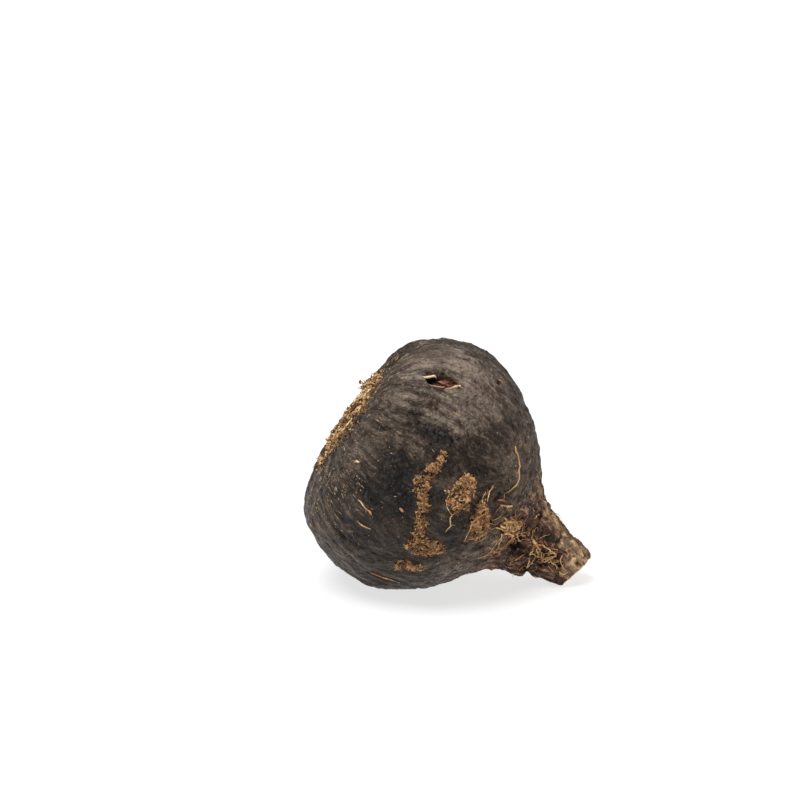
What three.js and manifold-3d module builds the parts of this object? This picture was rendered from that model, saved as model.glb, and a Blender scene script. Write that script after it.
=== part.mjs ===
// A black maca root as it is lifted and trimmed: a swollen, pear-shaped root that narrows to a short tail
// with a cut end, a crown of dried leaf bases round the stump of the stem, a few thread-like side roots,
// and crusts of dried soil that are still stuck to the skin.
//
// Units are millimetres and +Z is up. The root lies on its side on the surface z = 0, with its crown up
// and towards -X and its tail down towards +X. The origin is the middle of the whole part's footprint box.
//
// The root is first made standing on its own axis, crown up, and then laid down by the group at the end.
// In that upright frame a place on the skin has three numbers:
//   along    distance down the axis from the plane of the crown's rim
//   bearing  degrees round the axis, 0 on the side that ends up on top and 90 on the side that faces -Y
//   lift     height above the skin
import * as THREE from "three";
import { mergeVertices } from "three/addons/utils/BufferGeometryUtils.js";
import Module from "manifold-3d";

// ---- Driving dimensions ----

const WIDTH = 48; // widest diameter of the swollen part
const LENGTH = 51.8; // crown rim to the cut end of the tail
const OVAL_SHARE = 0.012; // how far the root is out of round, as a share of its radius
const RIB_RISE = 0.22; // height of the three low ribs that wind down the root
const LEAN = 34.5; // degrees that the axis dips below level, crown to tail, when the root lies down
const FLAT_DEPTH = 0.55; // how much of the underside is pressed flat where the root lies on a surface
const TAIL_CUT_TURN = 20; // degrees between the cut end of the tail and a cut square across it
const TAIL_CUT_BEARING = 127; // the side that the cut end is turned to

const CROWN_RADIUS = 11; // torn edge of the skin round the crown
const DISH_DEPTH = 1.8; // floor of the crown below its rim
const STUMP_RADIUS = 3.9; // stump of the stem in the middle of the crown
const STUMP_RISE = 1.7; // its top above the rim

const LEAF_BASES = 16;
const LEAF_THICKNESS = 0.55;
const LEAF_WIDTH = 5.9; // measured round the stem
const LEAF_RISE = 1.9; // how far the innermost would stand above the rim; the outer ones stand lower
const LEAF_DIVERGENCE = 137.5; // degrees from one leaf base to the next, going out
const LEAF_FIRST_RADIUS = 5;
const LEAF_RADIUS_STEP = 0.3;

const ROOTLET_RADIUS = 0.3;
const SOIL_THICKNESS = 0.6;
const GAP = 0.3; // clearance between pieces that touch in the real root

const AROUND = 60; // facets round the root
const ROWS = 44; // rows of facets from the crown to the tail

// ---- Materials ----

const skinMaterial = new THREE.MeshStandardMaterial({ color: 0x2b2625, roughness: 0.6, metalness: 0 });
const leafMaterial = new THREE.MeshStandardMaterial({ color: 0xa07a45, roughness: 0.85, metalness: 0 });
const rootletMaterial = new THREE.MeshStandardMaterial({ color: 0xa58a66, roughness: 0.8, metalness: 0 });
const soilMaterial = new THREE.MeshStandardMaterial({ color: 0x8a6238, roughness: 0.95, metalness: 0 });

// ---- Outline of the root ----

const halfWidth = WIDTH / 2;

// The crown, from its middle out to the rim, as [radius, along].
const crownOutline = [
  [0, -STUMP_RISE],
  [STUMP_RADIUS * 0.6, -STUMP_RISE * 0.95],
  [STUMP_RADIUS * 0.95, -STUMP_RISE * 0.55],
  [STUMP_RADIUS, DISH_DEPTH * 0.5],
  [STUMP_RADIUS + 0.2, DISH_DEPTH],
  [(STUMP_RADIUS + CROWN_RADIUS) / 2, DISH_DEPTH],
  [CROWN_RADIUS - 0.6, DISH_DEPTH],
  [CROWN_RADIUS - 0.2, DISH_DEPTH * 0.4],
  [CROWN_RADIUS, 0],
];

// The skin, from the rim to the tail: radius as a share of half the width, along as a share of the length.
const skinOutline = [
  [0.5, 0.002],
  [0.59, 0.006],
  [0.69, 0.016],
  [0.79, 0.038],
  [0.865, 0.073],
  [0.925, 0.127],
  [0.98, 0.2],
  [1, 0.272],
  [0.98, 0.352],
  [0.929, 0.432],
  [0.858, 0.49],
  [0.779, 0.545],
  [0.69, 0.592],
  [0.587, 0.632],
  [0.454, 0.68],
  [0.37, 0.722],
  [0.31, 0.77],
  [0.275, 0.82],
  [0.228, 0.883],
  [0.19, 0.94],
  [0.172, 0.98],
  [0.14, 1.006],
  [0.08, 1.018],
  [0, 1.022],
].map(([radius, along]) => [radius * halfWidth, along * LENGTH]);

// Radius of the smooth skin at a distance down the axis.
function skinRadius(along) {
  const next = skinOutline.findIndex(([, a]) => a > along);
  if (next < 0) return skinOutline.at(-1)[0];
  if (next === 0) return skinOutline[0][0];
  const [r0, a0] = skinOutline[next - 1];
  const [r1, a1] = skinOutline[next];
  return r0 + ((r1 - r0) * (along - a0)) / (a1 - a0);
}

// ---- Lumps, creases and scars of the skin ----

// Each is a soft bump (rise above 0) or dent (rise below 0), with its reach down the axis and round it.
const relief = [
  { along: 12, bearing: 56.5, reach: 8, breadth: 1.6, rise: -1.1 }, // long crease on the upper front
  { along: 13, bearing: 46, reach: 8, breadth: 3.2, rise: 0.5 }, // swelling above the crease
  { along: 11.5, bearing: 88, reach: 3.4, breadth: 4.5, rise: -0.9 }, // hollow in the front
  { along: 14.3, bearing: 77, reach: 1.2, breadth: 5, rise: -0.6 }, // furrow that holds soil
  { along: 18.7, bearing: 100, reach: 1.6, breadth: 4, rise: -0.5 }, // the furrow's lower half
  { along: 7.5, bearing: 35.5, reach: 2.6, breadth: 0.9, rise: -1.5 }, // gash near the crown
  { along: 17.5, bearing: 18, reach: 0.9, breadth: 0.9, rise: -0.6 }, // pit in the top
  { along: 2.5, bearing: 0, reach: 3.4, breadth: 9, rise: -1 }, // the shoulder falls away at the top,
  { along: 2, bearing: 180, reach: 3.2, breadth: 9, rise: -0.8 }, // and at the bottom
  { along: 21.5, bearing: 176, reach: 7, breadth: 12, rise: 1.05 }, // heavy belly
  { along: 33, bearing: 178, reach: 3.5, breadth: 5, rise: -1.1 }, // narrower neck behind it
  { along: 20, bearing: 5, reach: 5, breadth: 8, rise: -0.35 }, // flatter back
  { along: 9, bearing: -70, reach: 5, breadth: 7, rise: -0.8 }, // dents of the far side
  { along: 20, bearing: -40, reach: 6, breadth: 3, rise: -0.7 },
  { along: 16, bearing: -110, reach: 4, breadth: 8, rise: 0.6 },
  { along: 24, bearing: -140, reach: 3, breadth: 5, rise: -0.5 },
  { along: 42, bearing: 160, reach: 1.4, breadth: 2.4, rise: 0.8 }, // knobs and grooves of the tail
  { along: 44, bearing: 170, reach: 0.7, breadth: 4, rise: -0.7 },
  { along: 36.2, bearing: 94, reach: 1.4, breadth: 1.6, rise: -0.9 },
  { along: 42.2, bearing: 86, reach: 1.4, breadth: 1.4, rise: -0.8 },
  { along: 40.5, bearing: 60, reach: 2, breadth: 2, rise: 0.5 },
  { along: 47, bearing: 25, reach: 1.5, breadth: 1.8, rise: 0.4 },
  { along: 44, bearing: -75, reach: 2, breadth: 2, rise: 0.6 },
];

function reliefAt(along, bearing) {
  const radius = skinRadius(along);
  const rim = THREE.MathUtils.smoothstep(along, 0, 3); // the rim itself stays round
  let rise = RIB_RISE * Math.sin(THREE.MathUtils.degToRad(3 * bearing + 6 * along + 40)) * rim;
  rise += OVAL_SHARE * radius * Math.cos(THREE.MathUtils.degToRad(2 * bearing - 60)) * rim;
  for (const spot of relief) {
    const turn = THREE.MathUtils.euclideanModulo(bearing - spot.bearing + 180, 360) - 180;
    const across = (THREE.MathUtils.degToRad(turn) * radius) / spot.breadth;
    const down = (along - spot.along) / spot.reach;
    rise += spot.rise * Math.exp(-across * across - down * down);
  }
  return rise;
}

// A point at a radius from the axis, in the upright frame.
function axisPoint(along, bearing, radius) {
  const angle = THREE.MathUtils.degToRad(bearing);
  return new THREE.Vector3(-radius * Math.sin(angle), -along, radius * Math.cos(angle));
}

// A point on the skin, or lifted square off it.
function skinPoint(along, bearing, lift = 0) {
  const at = (a, b) => axisPoint(a, b, skinRadius(a) + reliefAt(a, b));
  const step = 0.4;
  const degrees = 3;
  const down = at(along + step, bearing).sub(at(along - step, bearing));
  const round = at(along, bearing + degrees).sub(at(along, bearing - degrees));
  const outward = round.cross(down).normalize();
  return at(along, bearing).addScaledVector(outward, lift);
}

// ---- Solids ----

const wasm = await Module();
wasm.setup();

function toSolid(geometry) {
  const bare = geometry.clone();
  bare.deleteAttribute("normal");
  bare.deleteAttribute("uv");
  const merged = mergeVertices(bare, 1e-3);
  return new wasm.Manifold(
    new wasm.Mesh({
      numProp: 3,
      vertProperties: merged.attributes.position.array,
      triVerts: new Uint32Array(merged.index.array),
    }),
  );
}

function toGeometry(solid) {
  const mesh = solid.getMesh();
  const geometry = new THREE.BufferGeometry();
  geometry.setAttribute("position", new THREE.BufferAttribute(mesh.vertProperties, 3));
  geometry.setIndex(new THREE.BufferAttribute(mesh.triVerts, 1));
  geometry.computeVertexNormals();
  return geometry;
}

// Moves every vertex of a geometry to where place(x, y, z) says.
function warp(geometry, place) {
  const position = geometry.attributes.position;
  for (let i = 0; i < position.count; i += 1) {
    const to = place(position.getX(i), position.getY(i), position.getZ(i));
    position.setXYZ(i, to.x, to.y, to.z);
  }
  geometry.computeVertexNormals();
  return geometry;
}

// ---- Laying the root down ----

const lean = THREE.MathUtils.degToRad(LEAN);
const laidDown = new THREE.Matrix4().makeBasis(
  new THREE.Vector3(0, 1, 0),
  new THREE.Vector3(-Math.cos(lean), 0, Math.sin(lean)),
  new THREE.Vector3(Math.sin(lean), 0, Math.cos(lean)),
);

// ---- The root itself ----

function rootGeometry() {
  const outline = [...crownOutline, ...skinOutline];
  const curve = new THREE.SplineCurve(outline.map(([radius, along]) => new THREE.Vector2(radius, -along)));
  const rows = curve.getSpacedPoints(ROWS).reverse();
  rows[0].x = 0;
  rows[ROWS].x = 0;
  const round = new THREE.LatheGeometry(rows, AROUND);
  return warp(round, (x, y, z) => {
    const radius = Math.hypot(x, z);
    const bearing = THREE.MathUtils.radToDeg(Math.atan2(-x, z));
    const onSkin = THREE.MathUtils.smoothstep(radius, CROWN_RADIUS - 0.5, CROWN_RADIUS + 1.5);
    const onTail = THREE.MathUtils.smoothstep(-y, LENGTH / 2, LENGTH / 2 + 1);
    const share = Math.max(onSkin, onTail) * Math.min(1, radius / 3);
    return axisPoint(-y, bearing, Math.max(0, radius + share * reliefAt(-y, bearing)));
  });
}

// A big block whose one face passes through a point and faces against the normal: what it cuts away lies
// on the normal's side of that point.
function beyond(point, normal) {
  const size = 2 * LENGTH;
  const block = new THREE.BoxGeometry(size, size, size);
  block.translate(0, 0, size / 2);
  block.applyQuaternion(new THREE.Quaternion().setFromUnitVectors(new THREE.Vector3(0, 0, 1), normal));
  block.translate(point.x, point.y, point.z);
  return toSolid(block);
}

// The tail is cut to length, and then everything under a level plane just above the lowest point of the
// root as it lies is cut away, which leaves the flats that it rests on.
function trimmedRoot() {
  const turn = THREE.MathUtils.degToRad(TAIL_CUT_TURN);
  const cutFaces = axisPoint(0, TAIL_CUT_BEARING, Math.sin(turn)).setY(-Math.cos(turn));
  const whole = toSolid(rootGeometry()).subtract(beyond(axisPoint(LENGTH, 0, 0), cutFaces));
  const lying = toGeometry(whole).applyMatrix4(laidDown);
  lying.computeBoundingBox();
  const floor = lying.boundingBox.min.z + FLAT_DEPTH;
  const stand = laidDown.clone().invert();
  const lowest = new THREE.Vector3(0, 0, floor).applyMatrix4(stand);
  const down = new THREE.Vector3(0, 0, -1).transformDirection(stand);
  return { solid: whole.subtract(beyond(lowest, down)), floor };
}

// ---- Leaf bases ----

// One dried leaf base: an upright plate that curves round the stem, on the floor of the crown.
function leafBase(order) {
  const radius = LEAF_FIRST_RADIUS + order * LEAF_RADIUS_STEP;
  const half = LEAF_WIDTH / radius / 2;
  const plate = new THREE.Shape();
  plate.absarc(0, 0, radius + LEAF_THICKNESS / 2, -half, half, false);
  plate.absarc(0, 0, radius - LEAF_THICKNESS / 2, half, -half, true);
  const top = LEAF_RISE * (1 - (radius / CROWN_RADIUS) ** 3);
  const height = DISH_DEPTH - GAP + top;
  const geometry = new THREE.ExtrudeGeometry(plate, { depth: height, bevelEnabled: false, curveSegments: 6 });
  geometry.rotateX(-Math.PI / 2);
  geometry.rotateY(THREE.MathUtils.degToRad(order * LEAF_DIVERGENCE));
  geometry.translate(0, GAP - DISH_DEPTH, 0);
  return geometry;
}

// ---- Side roots ----

// Routes over the skin as [along, bearing, lift of the thread's middle above the skin].
const rest = ROOTLET_RADIUS + GAP;
const rootletRoutes = [
  [[25.1, 43, rest], [27.2, 45, rest], [28.2, 49, rest], [29.2, 56, rest], [28.4, 64, rest], [28.2, 69, rest]],
  [[21.5, 89.5, rest], [22.1, 92, rest], [22.5, 95, rest], [22.9, 98, rest]],
  [[25.2, 65.5, rest], [25.2, 68.5, rest], [25.1, 72, rest]],
  [[30.4, 84, rest], [32.9, 83, rest], [34.8, 84.5, rest], [36.5, 85, 1.1]],
  [[31.2, 78, rest], [32.1, 75, rest], [34.7, 69, rest], [36.1, 67, rest]],
  [[33.1, 89, rest], [33.2, 98, rest], [32.7, 108, rest], [32.4, 117, rest]],
  [[41.3, 87, 0.9], [42.3, 98, 1.3], [43.6, 99, 1.6], [44.4, 84, 1.7], [43.9, 71, 1.5], [42.2, 71, 1.1]],
  [[40.6, 97, rest], [41.4, 108, rest], [42.1, 122, rest], [42.6, 136, rest]],
  [[44.9, 94, rest], [46, 98, rest], [47.2, 101, rest]],
  [[46.4, 70, rest], [46.8, 84, rest], [48.4, 92, rest]],
  [[30, -60, rest], [31.5, -72, rest], [31, -88, rest], [33, -100, rest]],
  [[37, -30, rest], [38.6, -52, 0.9], [40, -80, 1.1], [38.8, -104, rest]],
];

function rootlet(route) {
  const path = new THREE.CatmullRomCurve3(route.map((place) => skinPoint(...place)));
  const section = new THREE.Shape();
  section.absarc(0, 0, ROOTLET_RADIUS, 0, 2 * Math.PI, false);
  const settings = { steps: 14, curveSegments: 3, bevelEnabled: false, extrudePath: path };
  return new THREE.ExtrudeGeometry(section, settings);
}

// ---- Soil ----

// Each crust lies along a route over the skin, given as [along, bearing], and is as wide as it says.
const soilCrusts = {
  soil_crust_furrow: { width: 2.2, route: [[13.6, 65], [14.1, 77], [14.6, 86], [16.9, 94], [19, 103.5]] },
  soil_crust_belly: { width: 3.8, route: [[17.9, 109.5], [20.2, 109], [22.6, 107.5], [24.8, 107]] },
  soil_crust_oval: { width: 4, route: [[19.5, 69], [20.9, 77], [22.3, 86]] },
  soil_crust_neck: { width: 3.4, route: [[25.9, 75], [26.9, 83], [28.1, 91]] },
};

function soilCrust({ width, route }) {
  const line = new THREE.CatmullRomCurve3(route.map((place) => new THREE.Vector3(...place, 0)));
  const degreesPerMm = (along) => THREE.MathUtils.radToDeg(1 / skinRadius(along));
  // The ball's Y runs along the route, its X across it, and its Z up off the skin.
  return warp(new THREE.SphereGeometry(1, 12, 12), (x, y, z) => {
    const share = (y + 1) / 2;
    const at = line.getPoint(share);
    const way = line.getTangent(share);
    const scale = degreesPerMm(at.x);
    const across = new THREE.Vector2(-way.y / scale, way.x).normalize().multiplyScalar((x * width) / 2);
    const lift = GAP + (SOIL_THICKNESS * (z + 1)) / 2;
    return skinPoint(at.x + across.x, at.y + across.y * scale, lift);
  });
}

// ---- Assembly ----

function addPiece(group, name, geometry, material) {
  const piece = new THREE.Mesh(geometry, material);
  piece.name = name;
  group.add(piece);
}

const numbered = (name, index) => `${name}_${String(index + 1).padStart(2, "0")}`;

const upright = new THREE.Group();
upright.quaternion.setFromRotationMatrix(laidDown);

const { solid: rootSolid, floor } = trimmedRoot();
addPiece(upright, "root_body", toGeometry(rootSolid), skinMaterial);
for (let i = 0; i < LEAF_BASES; i += 1) {
  addPiece(upright, numbered("leaf_base", i), leafBase(i), leafMaterial);
}
rootletRoutes.forEach((route, i) => {
  addPiece(upright, numbered("rootlet", i), rootlet(route), rootletMaterial);
});
for (const [name, crust] of Object.entries(soilCrusts)) {
  addPiece(upright, name, soilCrust(crust), soilMaterial);
}

// The underside goes to z = 0, and the middle of the whole part's box goes over the origin.
const box = new THREE.Box3().setFromObject(upright, true);
const middle = box.getCenter(new THREE.Vector3());
upright.position.set(-middle.x, -middle.y, -floor);

const maca = new THREE.Group();
maca.add(upright);

export default maca;
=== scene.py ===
"""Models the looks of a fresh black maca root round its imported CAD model.

Lengths inside this file are millimetres, and become metres where a mesh is made. Places on the root are
given as in the CAD model: along, the distance down the root's axis from the plane of the crown's rim, and
bearing, degrees round that axis, 0 on the side that lies on top and 90 on the side that faces -Y.
"""

import functools
import math

import bpy
import numpy as np
from bpy.props import FloatProperty, FloatVectorProperty, IntProperty, PointerProperty
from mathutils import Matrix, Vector
from mathutils.bvhtree import BVHTree


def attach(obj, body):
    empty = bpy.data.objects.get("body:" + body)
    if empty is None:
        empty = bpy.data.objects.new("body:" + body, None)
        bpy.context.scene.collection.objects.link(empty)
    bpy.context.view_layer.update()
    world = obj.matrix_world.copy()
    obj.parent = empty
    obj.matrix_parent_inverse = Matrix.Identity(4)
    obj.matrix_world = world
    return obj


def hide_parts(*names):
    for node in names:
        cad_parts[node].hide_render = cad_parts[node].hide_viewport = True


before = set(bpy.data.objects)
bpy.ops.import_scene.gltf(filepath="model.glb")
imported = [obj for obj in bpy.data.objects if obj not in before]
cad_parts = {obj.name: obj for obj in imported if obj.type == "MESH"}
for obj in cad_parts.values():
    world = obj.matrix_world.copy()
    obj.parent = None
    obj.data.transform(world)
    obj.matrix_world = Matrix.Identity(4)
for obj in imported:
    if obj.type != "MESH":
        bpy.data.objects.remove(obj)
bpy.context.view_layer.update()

bl_info = {
    "name": "Black Maca Root",
    "version": (1, 0, 0),
    "blender": (4, 5, 0),
    "location": "3D View > Sidebar > Maca",
    "description": "Builds a fresh black maca root with its crown, side roots and soil round a CAD model",
    "category": "Add Mesh",
}

MM = 0.001

# ---- The axis of the root ----

LEAN = math.radians(34.5)  # how far the axis dips below level, from the crown to the tail
STUMP_RISE = 1.7  # top of the CAD model's stump above the plane of the crown's rim
STUMP_TOP = 0.75  # top of the worn stump
CROWN_RADIUS = 11
STUMP_RADIUS = 3.9
DISH_DEPTH = 1.8  # floor of the crown below the plane of its rim
LIP = (9.0, 10.0)  # radii between which the crown's torn lip rises

AXIS = np.array([math.cos(LEAN), 0, -math.sin(LEAN)])
TOP = np.array([math.sin(LEAN), 0, math.cos(LEAN)])
NEAR = np.array([0.0, -1.0, 0.0])


def node_points(node):
    """The corners of a CAD node, in millimetres."""
    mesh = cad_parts[node].data
    points = np.empty(len(mesh.vertices) * 3, np.float32)
    mesh.vertices.foreach_get("co", points)
    return points.reshape(-1, 3).astype(float) / MM


def middle_of_crown():
    """The middle of the crown's rim: the tip of the stump is the first point of the root on its axis."""
    points = node_points("root_body")
    return points[np.argmin(points @ AXIS)] + AXIS * STUMP_RISE


CROWN = middle_of_crown()


def radial(bearing):
    """Direction square out from the axis, for one bearing or an array of them, in degrees."""
    angle = np.radians(bearing)
    return np.cos(angle)[..., None] * TOP + np.sin(angle)[..., None] * NEAR


def place_of(points):
    """Along, bearing and radius of points."""
    offset = points - CROWN
    along = offset @ AXIS
    up, near = offset @ TOP, offset @ NEAR
    return along, np.degrees(np.arctan2(near, up)), np.hypot(up, near)


def turn_between(bearing, other):
    """Degrees from one bearing to another, -180 to 180."""
    return (bearing - other + 180) % 360 - 180


def smooth(low, high, value):
    """0 below low, 1 above high and a smooth rise between; with low above high it falls."""
    t = np.clip((value - low) / (high - low), 0, 1)
    return t * t * (3 - 2 * t)


def looked_up(table, place):
    """The value at a place, from a table of places and values with straight lines between them."""
    return np.interp(place, *zip(*table))


class Noise:
    """Smooth random lumps in space, about -1 to 1, the same on every run."""

    CELLS = 32

    def __init__(self, seed):
        slopes = np.random.default_rng(seed).normal(size=(self.CELLS**3, 3))
        self.slopes = slopes / np.linalg.norm(slopes, axis=1, keepdims=True)

    def __call__(self, points, size):
        """The lumps are about size across: one number, or one for each of the three directions."""
        spot = points / np.asarray(size, float)
        cell = np.floor(spot).astype(int)
        inside = spot - cell
        ease = inside**3 * (inside * (inside * 6 - 15) + 10)
        total = np.zeros(points.shape[:-1])
        for corner in np.ndindex(2, 2, 2):
            at = (cell + corner) % self.CELLS
            index = (at[..., 0] * self.CELLS + at[..., 1]) * self.CELLS + at[..., 2]
            share = np.prod(np.where(corner, ease, 1 - ease), axis=-1)
            total += share * np.sum(self.slopes[index] * (inside - corner), axis=-1)
        return total * 1.6

    def layered(self, points, size, layers=3):
        """Lumps with finer lumps on them."""
        size = np.asarray(size, float)
        return sum(self(points + 7.3 * i, size / 2**i) / 2**i for i in range(layers))


def resample(values, count):
    """Points spread evenly by length along a smooth curve through the given points."""
    values = np.asarray(values, float)
    ends = np.vstack([2 * values[0] - values[1], values, 2 * values[-1] - values[-2]])
    t = np.linspace(0, 1, 8, endpoint=False)[:, None]
    curve = []
    for a, b, c, d in zip(ends, ends[1:], ends[2:], ends[3:]):
        bend = (2 * a - 5 * b + 4 * c - d) * t**2 + (3 * b - a - 3 * c + d) * t**3
        curve.append(b + 0.5 * ((c - a) * t + bend))
    curve = np.vstack([*curve, values[-1:]])
    run = np.concatenate([[0], np.cumsum(np.linalg.norm(np.diff(curve, axis=0), axis=1))])
    even = np.linspace(0, run[-1], count)
    return np.stack([np.interp(even, run, column) for column in curve.T], axis=1)


# ---- Making meshes ----


def add_piece(name, points, faces, material, replaces=(), values=None):
    """Adds a mesh to the scene as a piece of the root: points in millimetres, faces as lists of corners,
    and values as named numbers or vectors for each point, which the material reads."""
    mesh = bpy.data.meshes.new(name)
    mesh.from_pydata((np.asarray(points) * MM).tolist(), [], [list(map(int, face)) for face in faces])
    mesh.shade_smooth()
    for label, numbers in (values or {}).items():
        numbers = np.asarray(numbers, np.float32)
        kind, field = ("FLOAT", "value") if numbers.ndim == 1 else ("FLOAT_VECTOR", "vector")
        mesh.attributes.new(label, kind, "POINT").data.foreach_set(field, numbers.ravel())
    mesh.materials.append(material)
    piece = bpy.data.objects.new(name, mesh)
    bpy.context.scene.collection.objects.link(piece)
    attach(piece, "root")
    for node in replaces:
        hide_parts(node)


def grid_faces(rows, columns, wrap=True, start=0):
    """Four-sided faces of a grid of points; with wrap the last column joins the first."""
    across = np.arange(columns if wrap else columns - 1)
    after = (across + 1) % columns
    down = np.arange(rows - 1)[:, None] * columns
    corners = [down + across, down + after, down + columns + after, down + columns + across]
    return (np.stack(corners, axis=-1).reshape(-1, 4) + start).tolist()


class Bundle:
    """Gathers many small closed shapes into the points, faces and values of one mesh."""

    def __init__(self):
        self.points, self.faces, self.values, self.count = [], [], {}, 0

    def add(self, points, faces, **values):
        """Adds a shape; each of its values is one number, or a number or vector for each point."""
        self.points.append(points)
        self.faces.extend([[corner + self.count for corner in face] for face in faces])
        for label, value in values.items():
            value = np.asarray(value, float)
            if value.ndim == 0:
                value = np.full(len(points), float(value))
            self.values.setdefault(label, []).append(value)
        self.count += len(points)

    def piece(self, name, slot, material, replaces=()):
        """Adds all the shapes to the scene as one piece."""
        values = {label: np.concatenate(parts) for label, parts in self.values.items()}
        points = np.concatenate(self.points)
        add_piece(name, points, self.faces, material, replaces, values)


def thread(path, radii, sides=6):
    """Points and faces of a closed thread along a path, as thick as radii say at each of its points."""
    path = np.asarray(path, float)
    way = np.gradient(path, axis=0)
    way /= np.linalg.norm(way, axis=1, keepdims=True) + 1e-9
    side = np.cross(way[0], AXIS if abs(way[0] @ AXIS) < 0.9 else TOP)
    rings = []
    for point, ahead, radius in zip(path, way, radii):
        side = side - ahead * (side @ ahead)
        side /= np.linalg.norm(side)
        up = np.cross(ahead, side)
        angle = np.linspace(0, 2 * math.pi, sides, endpoint=False)[:, None]
        rings.append(point + radius * (np.cos(angle) * side + np.sin(angle) * up))
    count = len(path)
    points = np.vstack([*rings, path[:1], path[-1:]])
    faces = grid_faces(count, sides)
    first, last, end = count * sides, count * sides + 1, (count - 1) * sides
    for i in range(sides):
        j = (i + 1) % sides
        faces.append([first, j, i])
        faces.append([last, end + i, end + j])
    return points, faces


def crumb(middle, size, rng, squash=1.0, normal=TOP):
    """Points and faces of a small lump, about size across and flatter along normal."""
    lopsided = 0.8 * np.eye(3) + rng.normal(0, 0.24, (3, 3))
    points = middle + size * (CRUMB_POINTS * rng.uniform(0.6, 1.1, (len(CRUMB_POINTS), 1))) @ lopsided
    height = (points - middle) @ normal
    return points + ((squash - 1) * height)[:, None] * normal, CRUMB_FACES


def make_crumb():
    """Unit ball of 18 points, made by halving the edges of an eight-sided solid."""
    corners = [(1, 0, 0), (0, 1, 0), (-1, 0, 0), (0, -1, 0), (0, 0, 1), (0, 0, -1)]
    solid = [(0, 1, 4), (1, 2, 4), (2, 3, 4), (3, 0, 4), (1, 0, 5), (2, 1, 5), (3, 2, 5), (0, 3, 5)]
    points, middles, faces = [np.array(corner, float) for corner in corners], {}, []
    for face in solid:
        halves = []
        for a, b in zip(face, face[1:] + face[:1]):
            key = tuple(sorted((a, b)))
            if key not in middles:
                middle = points[a] + points[b]
                middles[key] = len(points)
                points.append(middle / np.linalg.norm(middle))
            halves.append(middles[key])
        (a, b, c), (d, e, f) = face, halves
        faces += [[a, d, f], [d, b, e], [f, e, c], [d, e, f]]
    return np.array(points), faces


CRUMB_POINTS, CRUMB_FACES = make_crumb()


# ---- Shader maths ----


class Signal:
    """A value, colour or vector in a material. Arithmetic on it adds the nodes that work it out."""

    def __init__(self, tree, socket=None):
        self.tree = tree
        self.socket = socket

    def node(self, kind, settings=None, inputs=None, output=0):
        """Adds a node: its settings first, then the values or links of its sockets."""
        made = self.tree.nodes.new("ShaderNode" + kind)
        for name, value in (settings or {}).items():
            if name == "stops":
                ramp = made.color_ramp
                while len(ramp.elements) < len(value):
                    ramp.elements.new(1)
                for element, (place, colour) in zip(ramp.elements, value):
                    element.position = place
                    element.color = colour
            else:
                setattr(made, name, value)
        for name, value in (inputs or {}).items():
            if isinstance(value, Signal):
                self.tree.links.new(value.socket, made.inputs[name])
            else:
                made.inputs[name].default_value = value
        return Signal(self.tree, made.outputs[output])

    def maths(self, operation, *others):
        """A Math node, or a Vector Math node where this is a vector."""
        kind = "VectorMath" if self.socket.type == "VECTOR" else "Math"
        return self.node(kind, {"operation": operation}, dict(enumerate((self, *others))))

    def __add__(self, other):
        return self.maths("ADD", other)

    def __mul__(self, other):
        return self.maths("MULTIPLY", other)

    def __sub__(self, other):
        return self.maths("SUBTRACT", other)

    def __rsub__(self, other):
        return self.node("Math", {"operation": "SUBTRACT"}, {0: other, 1: self})

    __radd__ = __add__
    __rmul__ = __mul__

    def between(self, low, high):
        """0 at low and 1 at high, clamped, with a smooth rise."""
        inputs = {"Value": self, "From Min": low, "From Max": high}
        return self.node("MapRange", {"interpolation_type": "SMOOTHSTEP"}, inputs)

    def ramp(self, *stops):
        """A colour for this value, from places on a scale of 0 to 1 and their colours."""
        stops = [(place, solid(colour)) for place, colour in stops]
        return self.node("ValToRGB", {"stops": stops}, {"Fac": self})

    def mix(self, under, over):
        """With this value as the mask, over laid on under: each of them a signal or a colour."""
        layers = [colour if isinstance(colour, Signal) else solid(colour) for colour in (under, over)]
        return self.node("Mix", {"data_type": "RGBA"}, {0: self, 6: layers[0], 7: layers[1]}, 2)


class Finish(Signal):
    """A new material with a Principled shader, whose sockets are set from signals or constants."""

    def __init__(self, name):
        self.material = bpy.data.materials.new(name)
        self.material.use_nodes = True
        super().__init__(self.material.node_tree)
        self.shader = self.tree.nodes["Principled BSDF"]

    def value(self, name):
        """A number that the mesh holds for each point."""
        return self.node("Attribute", {"attribute_name": name}, None, "Fac")

    def vector(self, name):
        """A vector that the mesh holds for each point."""
        return self.node("Attribute", {"attribute_name": name}, None, "Vector")

    def millimetres(self):
        """Places on the piece, in millimetres."""
        return self.node("TexCoord", None, None, "Object") * (1000.0, 1000.0, 1000.0)

    def noise(self, at, scale, detail=2.0, roughness=0.5):
        inputs = {"Vector": at, "Scale": scale, "Detail": detail, "Roughness": roughness}
        return self.node("TexNoise", None, inputs)

    def cells(self, at, scale):
        """Distance from the nearest of many scattered points."""
        return self.node("TexVoronoi", None, {"Vector": at, "Scale": scale}, "Distance")

    def bump(self, height, depth):
        """Normals of a surface that height raises by up to depth, in millimetres."""
        return self.node("Bump", None, {"Height": height, "Distance": depth * MM, "Strength": 1.0})

    def set(self, **sockets):
        """Sets sockets of the shader; a space in a socket's name is an underscore here."""
        for name, value in sockets.items():
            socket = self.shader.inputs[name.replace("_", " ")]
            if isinstance(value, Signal):
                self.tree.links.new(value.socket, socket)
            else:
                socket.default_value = value
        return self.material


def tint(red, green, blue):
    """A colour given as it looks, 0 to 255 each, as the linear numbers that Blender keeps."""
    return tuple(((c / 255 + 0.055) / 1.055) ** 2.4 if c > 10 else c / 3294.6 for c in (red, green, blue))


def solid(colour):
    """A colour with its opacity, as a socket takes it."""
    return (*colour[:3], 1.0)


# ---- What a user can change ----


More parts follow.
